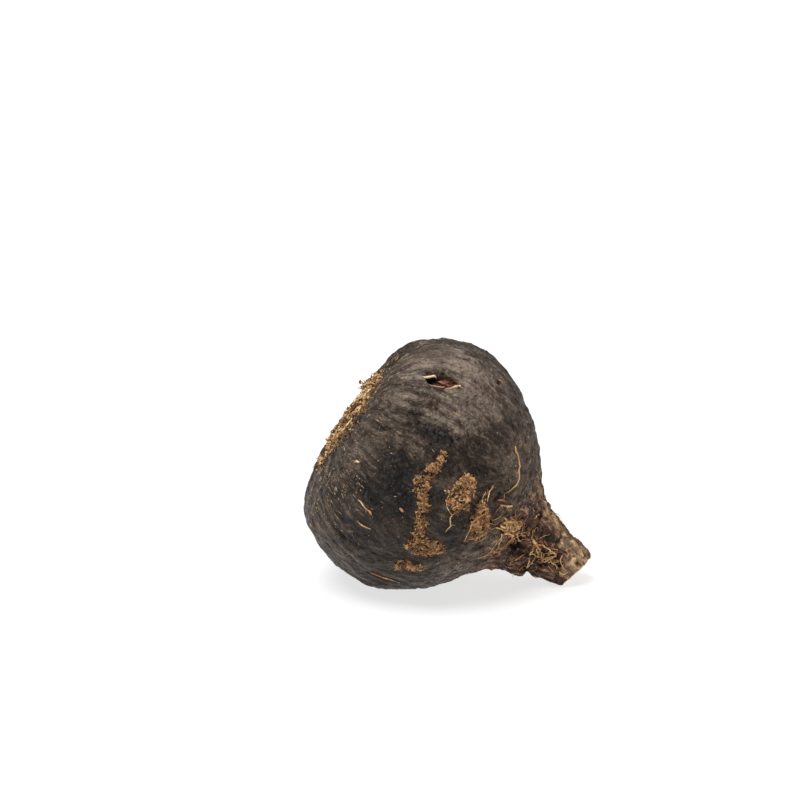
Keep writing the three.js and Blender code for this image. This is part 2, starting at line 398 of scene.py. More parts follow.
def colour_of(name, description, default):
    """A colour that a user can change."""
    limits = {"subtype": "COLOR", "min": 0, "max": 1}
    return FloatVectorProperty(name=name, description=description, default=default, **limits)


class MacaSizes(bpy.types.PropertyGroup):
    lump_height: FloatProperty(
        name="Lumps", description="Height of the broad lumps of the skin", default=0.0003, unit="LENGTH"
    )
    wrinkle_height: FloatProperty(
        name="Wrinkles", description="Height of the wrinkles down the root", default=0.0004, unit="LENGTH"
    )
    tail_roughness: FloatProperty(
        name="Tail", description="Height of the knots and furrows of the tail", default=0.0006, unit="LENGTH"
    )
    stump_roughness: FloatProperty(
        name="Stump", description="Depth of the pits in the spongy stump", default=0.0005, unit="LENGTH"
    )
    soil_thickness: FloatProperty(
        name="Soil", description="Thickness of the dried soil", default=0.0008, unit="LENGTH"
    )
    rootlet_radius: FloatProperty(
        name="Side roots", description="Radius of the thickest side roots", default=0.00017, unit="LENGTH"
    )
    hair_radius: FloatProperty(
        name="Root hair", description="Radius of the root hair", default=0.00007, unit="LENGTH"
    )
    hair_count: IntProperty(
        name="Root hairs", description="How many hairs lie round the neck and tail", default=340, min=0
    )
    fleck_count: IntProperty(
        name="Flecks", description="How many pale flecks of skin stand up", default=1500, min=0
    )


class MacaColours(bpy.types.PropertyGroup):
    skin: colour_of("Skin", "Black skin", tint(85, 71, 58))
    plum: colour_of("Plum", "Warmer patches of the skin", tint(87, 68, 60))
    slate: colour_of("Slate", "Colder patches of the skin", tint(73, 70, 58))
    worn: colour_of("Worn skin", "Ridges of the skin where it is rubbed", tint(139, 124, 111))
    bark: colour_of("Bark", "Brown skin of the neck and the tail", tint(126, 92, 68))
    flesh: colour_of("Flesh", "Where the skin is torn or cut", tint(236, 206, 150))
    straw: colour_of("Straw", "Dried leaf bases", tint(206, 160, 104))
    rust: colour_of("Rust", "Dark depths of the crown", tint(52, 29, 16))
    rootlet: colour_of("Side roots", "Side roots and root hair", tint(206, 164, 114))
    soil: colour_of("Soil", "Dried soil", tint(174, 124, 80))
    floor: colour_of("Floor", "Floor of the studio", tint(250, 250, 250))


# ---- The skin ----

COLUMNS = 320  # points round the root
CROWN_ROWS = 44  # rows of points from the middle of the crown to its rim
SHOULDER = 14  # rays to the skin fan out from here on the axis round the crown,
TAIL_FAN = 48  # and from here over the cut end of the tail
RIM_PASSED = 0.08  # rays with a larger t meet the skin outside the crown's rim
CUT_WAY = math.cos(math.radians(20)) * AXIS + math.sin(math.radians(20)) * radial(127)  # out of the cut end

# Distance between rows of the skin, as t and millimetres: closer where it is more finely shaped.
ROW_SPACING = [
    (0, 0.16),
    (0.12, 0.3),
    (0.8, 0.31),
    (1.5, 0.36),
    (1.65, 0.22),
    (2, 0.2),
    (2.3, 0.16),
    (3, 0.2),
]

# Furrows in the skin: route as along, bearing and half width, then depth and steepness of the sides.
FURROWS = [
    (
        [
            (1.6, 60, 0.5), (4.8, 60, 0.8), (7.7, 61, 0.9), (9.7, 61, 1),
            (11.9, 60, 0.9), (14.2, 59, 0.8), (15.8, 58, 0.4),
        ],
        0.6,
        2,
    ),
    ([(1.3, 75, 0.35), (3.2, 73, 0.5), (4.8, 68, 0.3)], 0.6, 2),
    ([(8.6, 78, 1.0), (9.6, 83, 1.6), (11.4, 91, 1.8), (14.4, 95, 1.2)], 0.45, 2),
    (
        [
            (4.7, 36.4, 0.3), (5.6, 36.2, 0.9), (7, 37.2, 1.6),
            (8.4, 36.8, 1.6), (9.8, 35.4, 0.9), (11.1, 35.2, 0.4),
        ],
        2,
        6,
    ),
    ([(17.0, 144.6, 0.15), (18.4, 144.2, 0.42), (20.5, 144, 0.4), (22.3, 144, 0.12)], 0.9, 4),
    ([(6.2, 69, 0.4), (9.5, 70, 0.5), (13, 69, 0.6), (16, 66, 0.4)], 0.3, 2),
    ([(16, 108, 0.4), (19, 116, 0.6), (21, 124, 0.4)], 0.3, 2),
    ([(25, 60, 0.3), (29, 63, 0.4), (33, 62, 0.3)], 0.25, 2),
    ([(24, 30, 0.4), (29, 38, 0.5), (34, 40, 0.5), (39, 42, 0.4)], 0.3, 2),
    ([(26, 110, 0.4), (31, 114, 0.5), (36, 118, 0.4)], 0.3, 2),
    ([(8, 132, 0.3), (12, 128, 0.5), (16, 130, 0.3)], 0.3, 2),
    ([(4, -40, 0.5), (9, -44, 0.8), (15, -42, 0.9), (21, -47, 0.5)], 0.5, 2),
    ([(8, -95, 0.4), (12, -100, 0.7), (18, -98, 0.5)], 0.4, 2),
    ([(3, 170, 0.5), (7, 176, 0.7), (11, 172, 0.5)], 0.4, 2),
    ([(10, -150, 0.4), (15, -146, 0.6), (19, -150, 0.4)], 0.4, 2),
    ([(6, 8, 0.3), (9, 12, 0.5), (12, 10, 0.3)], 0.3, 2),
    ([(27.3, 66, 0.3), (27.5, 70, 0.5), (27.9, 75, 0.5), (28.7, 80, 0.6), (29.8, 82, 0.4)], 0.5, 2),
    ([(41.3, 120, 0.3), (42, 134, 0.5), (43.6, 150, 0.6), (44, 172, 0.6), (43.6, -165, 0.4)], 0.9, 2),
]

TAIL_RINGS = (38.6, 40.4, 44.0, 46.4, 48.0)  # where broken furrows go round the tail

# Pits in the skin: along, bearing, half width, depth.
PITS = [
    (17.5, 18, 0.6, 0.6),
    (15.2, 16, 0.45, 0.4),
    (13.5, 15, 0.4, 0.35),
    (36.6, 86, 1.1, 1.2),
    (37.8, 98, 1.3, 1.5),
    (42.5, 92, 1.0, 1.4),
    (43.8, 98, 0.8, 1.2),
    (45.5, 78, 0.9, 1.1),
    (35.9, 69, 0.9, 1.0),
    (38.3, 45, 0.8, 0.8),
    (41.7, 99, 0.5, 0.9),
    (47.1, 90, 0.7, 0.9),
    (32, 78, 0.8, 0.9),
    (33.4, 77, 0.9, 1.1),
    (33.8, 86, 0.7, 0.9),
    (38.4, 112, 0.6, 0.6),
    (45.4, 96, 0.5, 0.8),
    (44, 112, 0.6, 0.6),
    (48.6, 56, 0.4, 0.4),
    (22, -20, 0.5, 0.4),
    (12, -75, 0.6, 0.4),
    (40, -60, 0.8, 1.0),
    (37, -110, 0.7, 0.9),
    (42, -90, 0.7, 1.0),
    (44, -130, 0.7, 0.9),
    (46, -30, 0.6, 0.6),
    (11, 108, 0.3, 0.25),
    (14, 150, 0.4, 0.3),
]

# Painted light and shade on the skin, partly its own paler and darker patches: paler where the top of the
# root and of the tail catch the light, darker in the hollow, the creases and the pits. Along, bearing, reach,
# amount.
PAINTED_LIGHT_AND_TONES = [
    (9.8, 84, 3.6, -1.2),
    (12.5, 95, 3.4, -1.15),
    (8.0, 95, 3.0, -0.55),
    (14.5, 68, 3.4, -0.6),
    (19, 62, 2.4, -0.5),
    (24, 92, 3.0, -0.45),
    (18, 88, 2.4, -0.6),
    (28, 108, 4.5, 0.1),
    (2.5, 60, 4.0, 0.5),
    (3.0, 90, 3.6, 0.45),
    (2.5, 30, 5.0, 1.0),
    (10, 22, 6.5, 1.3),
    (17, 30, 5.0, 0.4),
    (11, 48, 4.0, 0.5),
    (15.5, 45, 4.0, 0.4),
    (27, 45, 4.5, 0.65),
    (23.5, 100, 2.2, -0.6),
    (17.0, 114, 2.0, -0.6),
    (28, 122, 3.6, 0.7),
    (9.7, 62.5, 1.6, -0.9),
    (12.5, 62, 1.6, -0.9),
    (7.4, 62, 1.4, -0.6),
    (9.5, 56.5, 1.6, 0.5),
    (12.5, 56, 1.8, 0.5),
    (15.5, 54, 2.0, 0.4),
    (10, 118, 6.0, -0.45),
    (20, 140, 8.0, -0.35),
    (7, 88, 4.0, -0.5),
    (25, 114, 4.0, -0.3),
    (22, 70, 6.0, -0.25),
    (6, -20, 6.0, 0.3),
    (16, -90, 6.0, -0.3),
    (12, -130, 6.0, 0.25),
    (22, -60, 5.0, 0.3),
    (16, 160, 6.0, -0.2),
    (48.4, 50, 2.6, 1.9),
    (46.0, 40, 1.5, 0.7),
    (49.8, 97, 1.5, 0.9),
    (43.0, 28, 1.8, 1.6),
    (39.6, 23, 2.0, 1.3),
    (45.5, 35, 1.5, 1.0),
    (41.4, 48, 1.2, 0.7),
    (34.0, 74, 1.2, 0.8),
    (36.2, 22, 1.6, 0.6),
    (45.2, 52, 0.9, 0.8),
    (40.5, 79, 0.8, 1.1),
    (49.9, 64, 0.6, -1.6),
    (41.9, 60, 1.8, -0.5),
    (37.2, 92, 2.2, -1.4),
    (43.2, 92, 1.9, -1.4),
    (46.2, 84, 1.5, -1.2),
    (35.8, 70, 1.6, -1.1),
    (32.6, 82, 1.8, -0.9),
    (42, 125, 3.0, -0.8),
    (36, 110, 2.6, -0.4),
    (44, -100, 3.0, -0.7),
    (40, -60, 3.0, 0.5),
    (47, -150, 2.5, 0.6),
]

# Slips of torn skin: route with a lift, half thickness and paleness.
SLIPS = [
    ([(4.5, 36.8), (5.0, 35.4, 0.1), (5.6, 34.2, 0.15), (6.3, 33.4, 0.1), (7.0, 33.4)], 0.27, 1.2),
    ([(5.6, 38.6, 0.05), (6.3, 41, 0.15), (7.3, 42.6, 0.2), (8.4, 41.8, 0.25), (9.2, 39.6, 0.3)], 0.14, 0.6),
    ([(8.4, 41.2, 0.2), (9.2, 39.4, 0.4), (10.0, 38.0, 0.5), (10.8, 37.4, 0.4), (11.4, 37, 0.2)], 0.36, 0.8),
    ([(7.4, 34.4, 0.3), (8.2, 34.8, 0.5), (9.2, 34.6, 0.4)], 0.16, 0.3),
    ([(17.1, 142.8), (18.6, 142, 0.08), (20.4, 141.8, 0.08), (22.2, 142.6)], 0.15, 0.7),
    ([(6.6, 107.5), (7.4, 107.2, 0.08), (8.2, 107.8, 0.08), (9.2, 108.4)], 0.13, 0.85),
    ([(9.0, 107.6), (9.6, 108, 0.1), (10.1, 108.6)], 0.2, 0.6),
    ([(8.8, 116.2), (9.6, 116.2, 0.06), (10.6, 115.4, 0.06), (11.5, 114)], 0.12, 0.7),
    ([(13.1, 97.8), (13.6, 98.1, 0.06), (14.1, 98.4)], 0.26, 0.5),
    ([(2.4, 94), (2.8, 93.7, 0.05), (3.2, 93.2)], 0.17, 0.95),
    ([(16.9, 16.6), (17.6, 16, 0.08), (18.3, 16.4)], 0.13, 0.6),
    ([(27.6, 70.5, 0.2), (28.1, 68.5, 0.35), (29.0, 67.8, 0.3)], 0.17, 0.2),
    ([(29.3, 72, 0.2), (28.5, 71.8, 0.35), (28.5, 69, 0.2)], 0.15, 0.1),
    ([(29.3, 70.2, 0.2), (30.2, 68.4, 0.3), (30.8, 66.4, 0.15)], 0.2, 0.9),
    ([(39.7, 78, 0.3), (40.3, 79.5, 0.5), (40.9, 80, 0.3)], 0.26, 0.75),
    ([(40.1, 76, 0.2), (40.6, 80, 0.4), (40.4, 84, 0.2)], 0.2, 0.9),
]

# The raw floor of the gash: along, bearing and half width.
GASH_FLOOR = [(7.4, 33.4, 0.7), (8.4, 34, 1.1), (9.4, 34.4, 1.1), (10.6, 35, 0.8)]


def column_bearings():
    """Bearings of the columns of points, closer together on the near side, which has the finer scars."""
    fine = np.arange(-180, 180.5, 0.5)
    density = 1 + 0.5 * smooth(-25, 5, fine) * smooth(175, 150, fine)
    count = np.concatenate([[0], np.cumsum(density[1:])])
    return np.interp(np.arange(COLUMNS) * count[-1] / COLUMNS, count, fine)


BEARINGS = column_bearings()


def ray_at(t, bearing):
    """Start on the axis and direction of a ray to the skin; t is 0 at the rim and 3 at the tail's end."""
    rim = math.atan2(CROWN_RADIUS, SHOULDER)
    start = SHOULDER + (TAIL_FAN - SHOULDER) * np.clip(t - 1, 0, 1)
    turn = np.interp(t, [0, 1, 2, 3], [rim, math.pi / 2, math.pi / 2, math.pi])
    return start, -np.cos(turn) * AXIS + np.sin(turn) * radial(bearing)


def skin_rows():
    """Values of t for the rows of the skin, close together where it is finely shaped."""
    coarse = np.linspace(0, 3, 240)
    profile = np.array([ray_to_skin(t, 90) for t in coarse])
    length = np.linalg.norm(np.diff(profile, axis=0), axis=1)
    count = np.concatenate([[0], np.cumsum(length / looked_up(ROW_SPACING, coarse[1:]))])
    return np.interp(np.arange(1, int(count[-1])), count, coarse)


@functools.cache
def cad_tree():
    """The CAD root, ready for rays to be cast at it."""
    polygons = [tuple(p.vertices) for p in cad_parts["root_body"].data.polygons]
    return BVHTree.FromPolygons(node_points("root_body").tolist(), polygons)


def ray_to_skin(t, bearing):
    """The point of the CAD skin on a ray."""
    start, way = ray_at(t, float(bearing))
    hit = cad_tree().ray_cast(Vector(CROWN + AXIS * start), Vector(way))[0]
    if hit is None:
        raise RuntimeError(f"no skin at t {t}, bearing {bearing}")
    return np.array(hit)


def soften(values, rounds, around):
    """Evens out a grid of numbers: in each round every one is mixed with its neighbours."""
    for _ in range(rounds):
        if around:
            beside = np.roll(values, 1, axis=1) + np.roll(values, -1, axis=1)
        else:
            beside = np.vstack([values[:1], values[:-1]]) + np.vstack([values[1:], values[-1:]])
        values = 0.5 * values + 0.25 * beside
    return values


def smooth_skin():
    """The CAD skin as an even grid of points, without its facets, from the rim to the tail's end."""
    ts = skin_rows()
    reach = np.empty((len(ts), COLUMNS))
    starts = np.empty((len(ts), COLUMNS, 3))
    ways = np.empty((len(ts), COLUMNS, 3))
    for i, t in enumerate(ts):
        for j, bearing in enumerate(BEARINGS):
            start, way = ray_at(t, bearing)
            starts[i, j] = CROWN + AXIS * start
            ways[i, j] = way
            reach[i, j] = np.linalg.norm(ray_to_skin(t, bearing) - starts[i, j])
    # The swollen part is made more even than the tail, which keeps more of the shape it has.
    even = soften(soften(reach, 30, around=True), 50, around=False)
    crisp = soften(soften(reach, 16, around=True), 4, around=False)
    share = smooth(2.05, 2.3, ts)[:, None]
    reach = even * (1 - share) + crisp * share
    grid = starts + ways * reach[..., None]
    # The first rays pass inside the rim: their points go straight from the rim to the first row outside it.
    outside = int(np.argmax(ts > RIM_PASSED))
    blend = ((np.arange(outside) + 1) / (outside + 1))[:, None, None]
    rim = CROWN + CROWN_RADIUS * radial(BEARINGS)
    grid[:outside] = rim * (1 - blend) + grid[outside] * blend
    return grid


def crown_rows():
    """Rows of the crown from its middle to the rim: radius and along of each."""
    radius = np.arange(1, CROWN_ROWS + 1) / (CROWN_ROWS + 1) * (CROWN_RADIUS + 0.02)
    stump = -STUMP_TOP + 0.4 * (radius / STUMP_RADIUS) ** 2
    floor = smooth(3.3, 4.3, radius)
    lip = smooth(*LIP, radius)
    brim = 0.05 - 0.2 * smooth(11, 10.3, radius)
    return radius, stump * (1 - floor) + DISH_DEPTH * floor * (1 - lip) + brim * lip


def lip_rise(turn):
    """How far the skin's lip stands above the plane of the crown's rim: most on the near side."""
    worn = smooth(34, 12, np.abs(turn_between(np.degrees(turn), -68)))
    return 0.1 + 0.35 * np.clip(np.sin(turn), 0, 1) - 0.3 * worn


def normals_of(grid):
    """Directions square out of a grid of points that wraps round its columns."""
    around = np.roll(grid, -1, axis=1) - np.roll(grid, 1, axis=1)
    down = np.gradient(grid, axis=0)
    normal = np.cross(around, down)
    return normal / (np.linalg.norm(normal, axis=-1, keepdims=True) + 1e-12)


def nearest_on(points, places, along, bearing):
    """The one of the points that is nearest to an along and a bearing."""
    station, turn, radius = places
    off = (station - along) ** 2 + (np.radians(turn_between(turn, bearing)) * radius) ** 2
    return points[np.argmin(off)]


def stroke_weights(points, places, route, steepness=2):
    """How near each point lies to a route over the skin: 1 on it, and fading out past its half width, which
    is the third number of each spot of the route."""
    corners = np.array([[*nearest_on(points, places, *spot[:2]), spot[2]] for spot in route])
    path = corners
    if len(corners) > 1:
        length = np.linalg.norm(np.diff(corners[:, :3], axis=0), axis=1).sum()
        path = resample(corners, max(3, int(length / 0.15)))
    width = path[:, 3]
    margin = 3 * width.max()
    near = (points > path[:, :3].min(0) - margin) & (points < path[:, :3].max(0) + margin)
    near = np.all(near, axis=1)
    weight = np.zeros(len(points))
    off = np.linalg.norm(points[near][:, None] - path[None, :, :3], axis=2) / width
    weight[near] = np.exp(-(off.min(axis=1) ** steepness))
    return weight


def press_hollows(rise, points, places, lumpy, fine, knotty):
    """Lowers rise at furrows, pits and rings; tells how far down in one each point lies, for painted shade.
    """
    along = places[0]
    pit = np.zeros(len(points))
    for route, depth, steepness in FURROWS:
        weight = stroke_weights(points, places, route, steepness)
        rise -= depth * weight * (1 + 0.25 * fine(points, 1.2))
        pit = np.maximum(pit, weight * min(1, 0.2 + 0.6 * depth))
    for station, side, width, depth in PITS:
        weight = stroke_weights(points, places, [(station, side, width * 1.2)], 2.5)
        weight *= smooth(-0.7, 0.1, knotty(points, 1.1) + 0.6 * weight - 0.4)
        rise -= depth * weight
        pit = np.maximum(pit, weight * min(1, 0.3 + depth))
    for place in TAIL_RINGS:
        away = along - place - 0.8 * lumpy(points + place, 4)
        ring = np.exp(-((away / 0.45) ** 2)) * smooth(0.0, 0.4, knotty(points, 3))
        rise -= 0.35 * ring
        pit = np.maximum(pit, 0.7 * ring)
    return pit


def tone_and_painted_light_of(points, places, lumpy):
    """How much paler or darker the skin is at each point: painted light and shade, and random lumps of tone.
    """
    tone = np.zeros(len(points))
    for station, side, reach, amount in PAINTED_LIGHT_AND_TONES:
        tone += amount * stroke_weights(points, places, [(station, side, reach)])
    return tone + 0.3 * lumpy.layered(points - 40, 7, 2)


def shape_skin(grid, sizes):
    """The skin with its lumps, wrinkles, furrows and pits, and what its material needs to know."""
    shape = grid.shape[:2]
    normal = normals_of(grid).reshape(-1, 3)
    points = grid.reshape(-1, 3)
    places = along, bearing, radius = place_of(points)
    step = np.linalg.norm(np.diff(grid, axis=0), axis=2).mean(axis=1)
    run = np.repeat(CROWN_RADIUS + np.concatenate([[0], np.cumsum(step)]), COLUMNS)
    turn = np.radians(bearing)
    lumpy, fine, knotty = Noise(11), Noise(23), Noise(37)

    # The wrinkles run from the crown to the tail, so the grain is stretched that way.
    drift = turn + (0.9 * lumpy(points, 6) + 0.35 * fine(points, 2.5)) / 20
    spread = np.interp(along, [0, 24, 34, 42, 52], [19, 19, 11, 7, 6])
    grain = np.stack([spread * np.cos(drift), spread * np.sin(drift), run * 0.2], axis=1)
    tail = smooth(29, 38, along + 1.5 * lumpy(points, 6))
    cut = smooth(0.86, 0.95, normal @ CUT_WAY) * smooth(46, 48, along)
    rim = 0.55 * smooth(2.0, 0, run - CROWN_RADIUS) * (1 - 0.35 * np.clip(np.sin(turn), 0, 1))

    lumps = lumpy(points, 9) + 0.5 * lumpy(points + 31, 4)
    folds = fine.layered(grain, 1.6, 3)
    lines = 1 - 2.2 * np.abs(fine(grain + 17, 1.4))
    ridges = 0.8 * folds + 0.4 * lines * smooth(-0.4, 0.3, lumpy(points + 5, 7))
    ridges *= 0.6 + 0.6 * smooth(-0.4, 0.4, lumpy(points - 9, 8))
    ridges += 0.6 * fine.layered(points, 1.7, 3) * smooth(0.4, -0.4, lumpy(points - 9, 8))
    fibres = knotty.layered(grain, 1.0, 2)
    knots = 0.55 * knotty.layered(points, 2.2, 3) + 0.7 * fibres - 0.1
    rise = sizes.lump_height / MM * lumps * (1 - 0.6 * cut)
    rise += sizes.wrinkle_height / MM * ridges * (1 - tail) * (1 - 0.7 * cut)
    rise += sizes.tail_roughness / MM * knots * tail * (1 - 0.85 * cut) * 0.8
    rise += 0.09 * fibres * smooth(20, 30, along) * (1 - tail)
    rise += 0.07 * knotty.layered(points, 0.9, 2) * cut

    pit = press_hollows(rise, points, places, lumpy, fine, knotty)
    torn = fine.layered(np.stack([14 * np.cos(turn), 14 * np.sin(turn), run], axis=1), 0.8, 3)
    rise += 0.3 * torn * smooth(1.6, 0, run - CROWN_RADIUS)
    lifted = lip_rise(turn) * smooth(7.5, 0.2, run - CROWN_RADIUS) * (1 + 0.12 * fine(points, 1.5))
    # The cut end of the tail is worn back on top, and its corner is round.
    on_top = smooth(70, 20, np.abs(turn_between(bearing, 5)))
    lifted += 0.35 * smooth(47, 50.5, along) * on_top * smooth(1, 3.5, radius)

    tone = tone_and_painted_light_of(points, places, lumpy)
    crumbly = np.zeros(len(points))
    for route in SOIL_ROUTES.values():
        crumbly = np.maximum(crumbly, stroke_weights(points, places, route))
    brown = 0.75 * crumbly + 0.55 * smooth(20, 30, along) * smooth(75, 20, np.abs(turn_between(bearing, 35)))
    brown += 0.35 * smooth(24, 34, along)
    points = points + normal * rise[:, None] - AXIS * lifted[:, None]
    points[:, 2] = np.maximum(points[:, 2], 0)
    # For the material: where the wrinkles lie and how high they are, how far down in a hollow each point is,
    # for painted shade, how pale, with painted light and shade, how near the crown's rim, how far on the
    # tail, on its cut end or on raw flesh, and how dusty.
    values = {
        "grain": grain,
        "ridge": ridges,
        "pit": np.clip(pit, 0, 1),
        "tone": tone,
        "crown": rim,
        "bark": tail,
        "cut": cut,
        "raw": stroke_weights(points, places, GASH_FLOOR, 4),
        "dust": np.clip(brown, 0, 1),
    }
    return points.reshape(*shape, 3), values


def shape_crown(sizes):
    """The crown inside its rim: a spongy stump, a fibrous dish and a torn lip."""
    radius, along = crown_rows()
    flat = radius[:, None, None] * radial(BEARINGS)[None]
    turn = np.radians(np.broadcast_to(BEARINGS, (len(radius), COLUMNS)))
    reach = np.broadcast_to(radius[:, None], turn.shape)
    sponge, thready = Noise(41), Noise(43)
    pits = sponge.layered(flat + AXIS * along[:, None, None], 1.5, 4)
    level = np.stack([reach * np.cos(turn), reach * np.sin(turn), turn * 0], axis=-1)
    whorls = thready.layered(level, 0.8, 3)
    stump = smooth(4.4, 3.4, reach)
    lip = smooth(*LIP, reach)
    rise = sizes.stump_roughness / MM * pits * (0.6 + stump) + 0.35 * whorls * (1 - stump)
    rise += lip_rise(turn) * lip
    height = along[:, None] - rise
    grid = CROWN + flat + AXIS * height[..., None]
    # Painted shade: the crown's floor darkens the lower it lies inside the lip.
    deep = smooth(-0.6, 1.6, height) * (1 - lip)
    torn = np.clip(0.55 + 1.0 * (10.6 - 0.9 * np.cos(turn) ** 2 - reach), 0.55, 1)
    return grid, reach, turn, deep, torn


def join_rows(crown, skin):
    """The crown's and the skin's rows as one array, with a pole at each end."""
    rows = np.concatenate([crown.reshape(-1, *crown.shape[2:]), skin.reshape(-1, *skin.shape[2:])])
    first, last = crown[0].mean(axis=0, keepdims=True), skin[-1].mean(axis=0, keepdims=True)
    return np.concatenate([first, rows, last])


def build_skin(sizes, colours):
    """The crown, the skin and the tail as one closed mesh."""
    skin, values = shape_skin(smooth_skin(), sizes)
    crown, reach, turn, deep, torn = shape_crown(sizes)
    grown = len(crown) + len(skin)
    blank = np.zeros(crown.shape[:2])
    inside = {
        "grain": np.stack([19 * np.cos(turn), 19 * np.sin(turn), reach * 0.3], axis=-1),
        "crown": torn,
        "pit": deep,
    }
    merged = {}
    for label, numbers in values.items():
        numbers = numbers.reshape(skin.shape[:2] + numbers.shape[1:])
        merged[label] = join_rows(inside.get(label, blank), numbers)
    points = join_rows(crown, skin)
    last = grown * COLUMNS + 1
    faces = grid_faces(grown, COLUMNS, start=1)
    for i in range(COLUMNS):
        j = (i + 1) % COLUMNS
        faces.append([0, 1 + j, 1 + i])
        faces.append([last, last - COLUMNS + i, last - COLUMNS + j])
    add_piece("root_skin", points, faces, skin_finish(colours), ["root_body"], merged)


class Surface:
    """The visible skin, to find places on."""

    def __init__(self):
        skin = bpy.data.objects.get("root_skin")
        if skin is None:
            raise RuntimeError("Add the root body before the pieces that lie on it")
        points = np.empty(len(skin.data.vertices) * 3, np.float32)
        skin.data.vertices.foreach_get("co", points)
        self.points = points.reshape(-1, 3).astype(float) / MM
        faces = [tuple(face.vertices) for face in skin.data.polygons]
        self.tree = BVHTree.FromPolygons(self.points.tolist(), faces)
        self.points = self.points[CROWN_ROWS * COLUMNS :]  # without the crown, whose rows come first
        self.places = place_of(self.points)

    def nearest(self, point):
        """The point of the skin nearest to a point, and the direction square out of it."""
        place, normal, _, _ = self.tree.find_nearest(Vector(point))
        return np.array(place), np.array(normal)

    def at(self, along, bearing):
        """The place on the skin with that along and bearing, and the direction square out of it."""
        # Nearer to its ends a ray square out of the axis doesn't meet the side of the root.
        if 3 < along < 49:
            hit = self.tree.ray_cast(Vector(CROWN + AXIS * along), Vector(radial(float(bearing))))
            if hit[0] is not None:
                return np.array(hit[0]), np.array(hit[1])
        return self.nearest(nearest_on(self.points, self.places, along, bearing))

    def route(self, spots, spacing):
        """Places along a route over the skin, about spacing apart, and their directions out."""
        corners = np.array([self.at(*spot[:2])[0] for spot in spots])
        lifts = np.array([spot[2] if len(spot) > 2 else 0 for spot in spots])
        length = np.linalg.norm(np.diff(corners, axis=0), axis=1).sum()
        even = resample(np.column_stack([corners, lifts]), max(4, int(length / spacing)))
        found = [self.nearest(point) for point in even[:, :3]]
        return np.array([place for place, _ in found]), np.array([way for _, way in found]), even[:, 3]

    def wander(self, spot, heading, length, curl, lift, rng, step=0.28):
        """A path that strays over the skin from a place; lift is how high its loops stand."""
        place, normal = self.nearest(spot)
        way = np.cross(normal, np.cross(heading, normal))
        way /= np.linalg.norm(way) + 1e-9
        path, height, bend = [], rng.uniform(0, 1), rng.normal() * curl
        for _ in range(max(4, int(length / step))):
            bend = 0.8 * bend + 0.6 * rng.normal() * curl
            side = np.cross(normal, way)
            way = way * math.cos(bend * step) + side * math.sin(bend * step)
            height = np.clip(height + rng.normal() * 0.35, -0.1, 1)
            place, normal = self.nearest(place + way * step)
            way -= normal * (way @ normal)
            way /= np.linalg.norm(way) + 1e-9
            path.append(place + normal * (0.04 + lift * max(0, height)))
        return soften(np.array(path), 2, around=False)


# ---- Leaf bases and fibres of the crown ----

# The knife's cut across the crown from its bottom to its top: distance from the middle, and height.
KNIFE_CUT = ((-10.4, -0.6), (-8.9, 0.5), (-3, 0.9), (0.8, 1.15), (4.2, 1.1), (6.5, 1.6), (9.3, 1.1))


def knife_height(radius, bearing):
    """How high above the rim's plane the knife cut the leaves: lower on the far side and at the bottom."""
    turn = math.radians(bearing)
    level = looked_up(KNIFE_CUT, radius * math.cos(turn))
    return level + 0.137 * radius * math.sin(turn)


def leaf_place(node):
    """Middle bearing, half angle, radius and top of a leaf base of the CAD model."""
    along, bearing, radius = place_of(node_points(node))
    middle = math.degrees(math.atan2(np.sin(np.radians(bearing)).mean(), np.cos(np.radians(bearing)).mean()))
    half = np.abs(turn_between(bearing, middle)).max()
    return middle, half, (radius.min() + radius.max()) / 2, along.min()


SLIP_ROOT = 2.0  # how far below the plane of the rim the torn slips of a leaf base start


def leaf_slip(middle, half, radius, top, seed):
    """One torn slip of a dried leaf base, which curves round the stem: points, faces and values."""
    fibrous = Noise(seed)
    across, levels = 40, 9
    u = np.concatenate([np.linspace(-1, 1, across), np.linspace(1, -1, across)])
    side = np.concatenate([np.ones(across), -np.ones(across)])
    w = np.linspace(0, 1, levels)[:, None]
    reach = np.radians(half) * radius
    jag = fibrous.layered(np.stack([u * reach, 0 * u, 0 * u], axis=1), 1.7, 4)
    along = SLIP_ROOT + (top - SLIP_ROOT) * w * np.clip(0.93 - 0.35 * np.abs(u) ** 3 + 0.5 * jag, 0.2, 1.04)
    spots = np.stack(np.broadcast_arrays(u * reach, w * 2, side * 3), axis=-1)
    strand = fibrous.layered(spots, 0.7, 3)
    thick = (0.11 - 0.05 * w) * (1 - 0.6 * np.abs(u) ** 4)
    out = radius + side * thick + 0.16 * strand * (0.4 + w) + 0.7 * fibrous(spots * (1, 1, 0) + 20, 1.6) * w
    bearing = np.broadcast_to(middle + u * half, out.shape)
    points = CROWN + out[..., None] * radial(bearing) + along[..., None] * AXIS
    faces = grid_faces(levels, 2 * across)
    top_row = (levels - 1) * 2 * across
    for i in range(across - 1):
        j = 2 * across - 1 - i
        faces.append([top_row + i, top_row + i + 1, top_row + j - 1, top_row + j])
        faces.append([i, j, j - 1, i + 1])
    faces = [face[::-1] for face in faces]
    strands = np.stack(np.broadcast_arrays(u * reach, w * 0.4 + seed, side * 2.0), axis=-1)
    return points.reshape(-1, 3), faces, np.broadcast_to(w, out.shape).reshape(-1), strands.reshape(-1, 3)


def build_leaf_base(node, index, finish):
    """One dried leaf base, split into three torn slips."""
    middle, half, radius, top = leaf_place(node)
    rng = np.random.default_rng(600 + index)
    bundle = Bundle()
    for layer, out in enumerate((-0.32, 0.0, 0.3)):
        share = rng.uniform(0.75, 1.0)
        turned = middle + rng.normal(0, 3)
        cut = max(top, -knife_height(radius + out, turned)) + 0.9 * rng.random() ** 2
        seed = 60 + 3 * index + layer
        points, faces, tips, strands = leaf_slip(turned, half * share, radius + out, cut, seed)
        bundle.add(points, faces, tip=tips, strands=strands)
    bundle.piece("leaf_base_slips_" + node[-2:], "leaf_base", finish, [node])


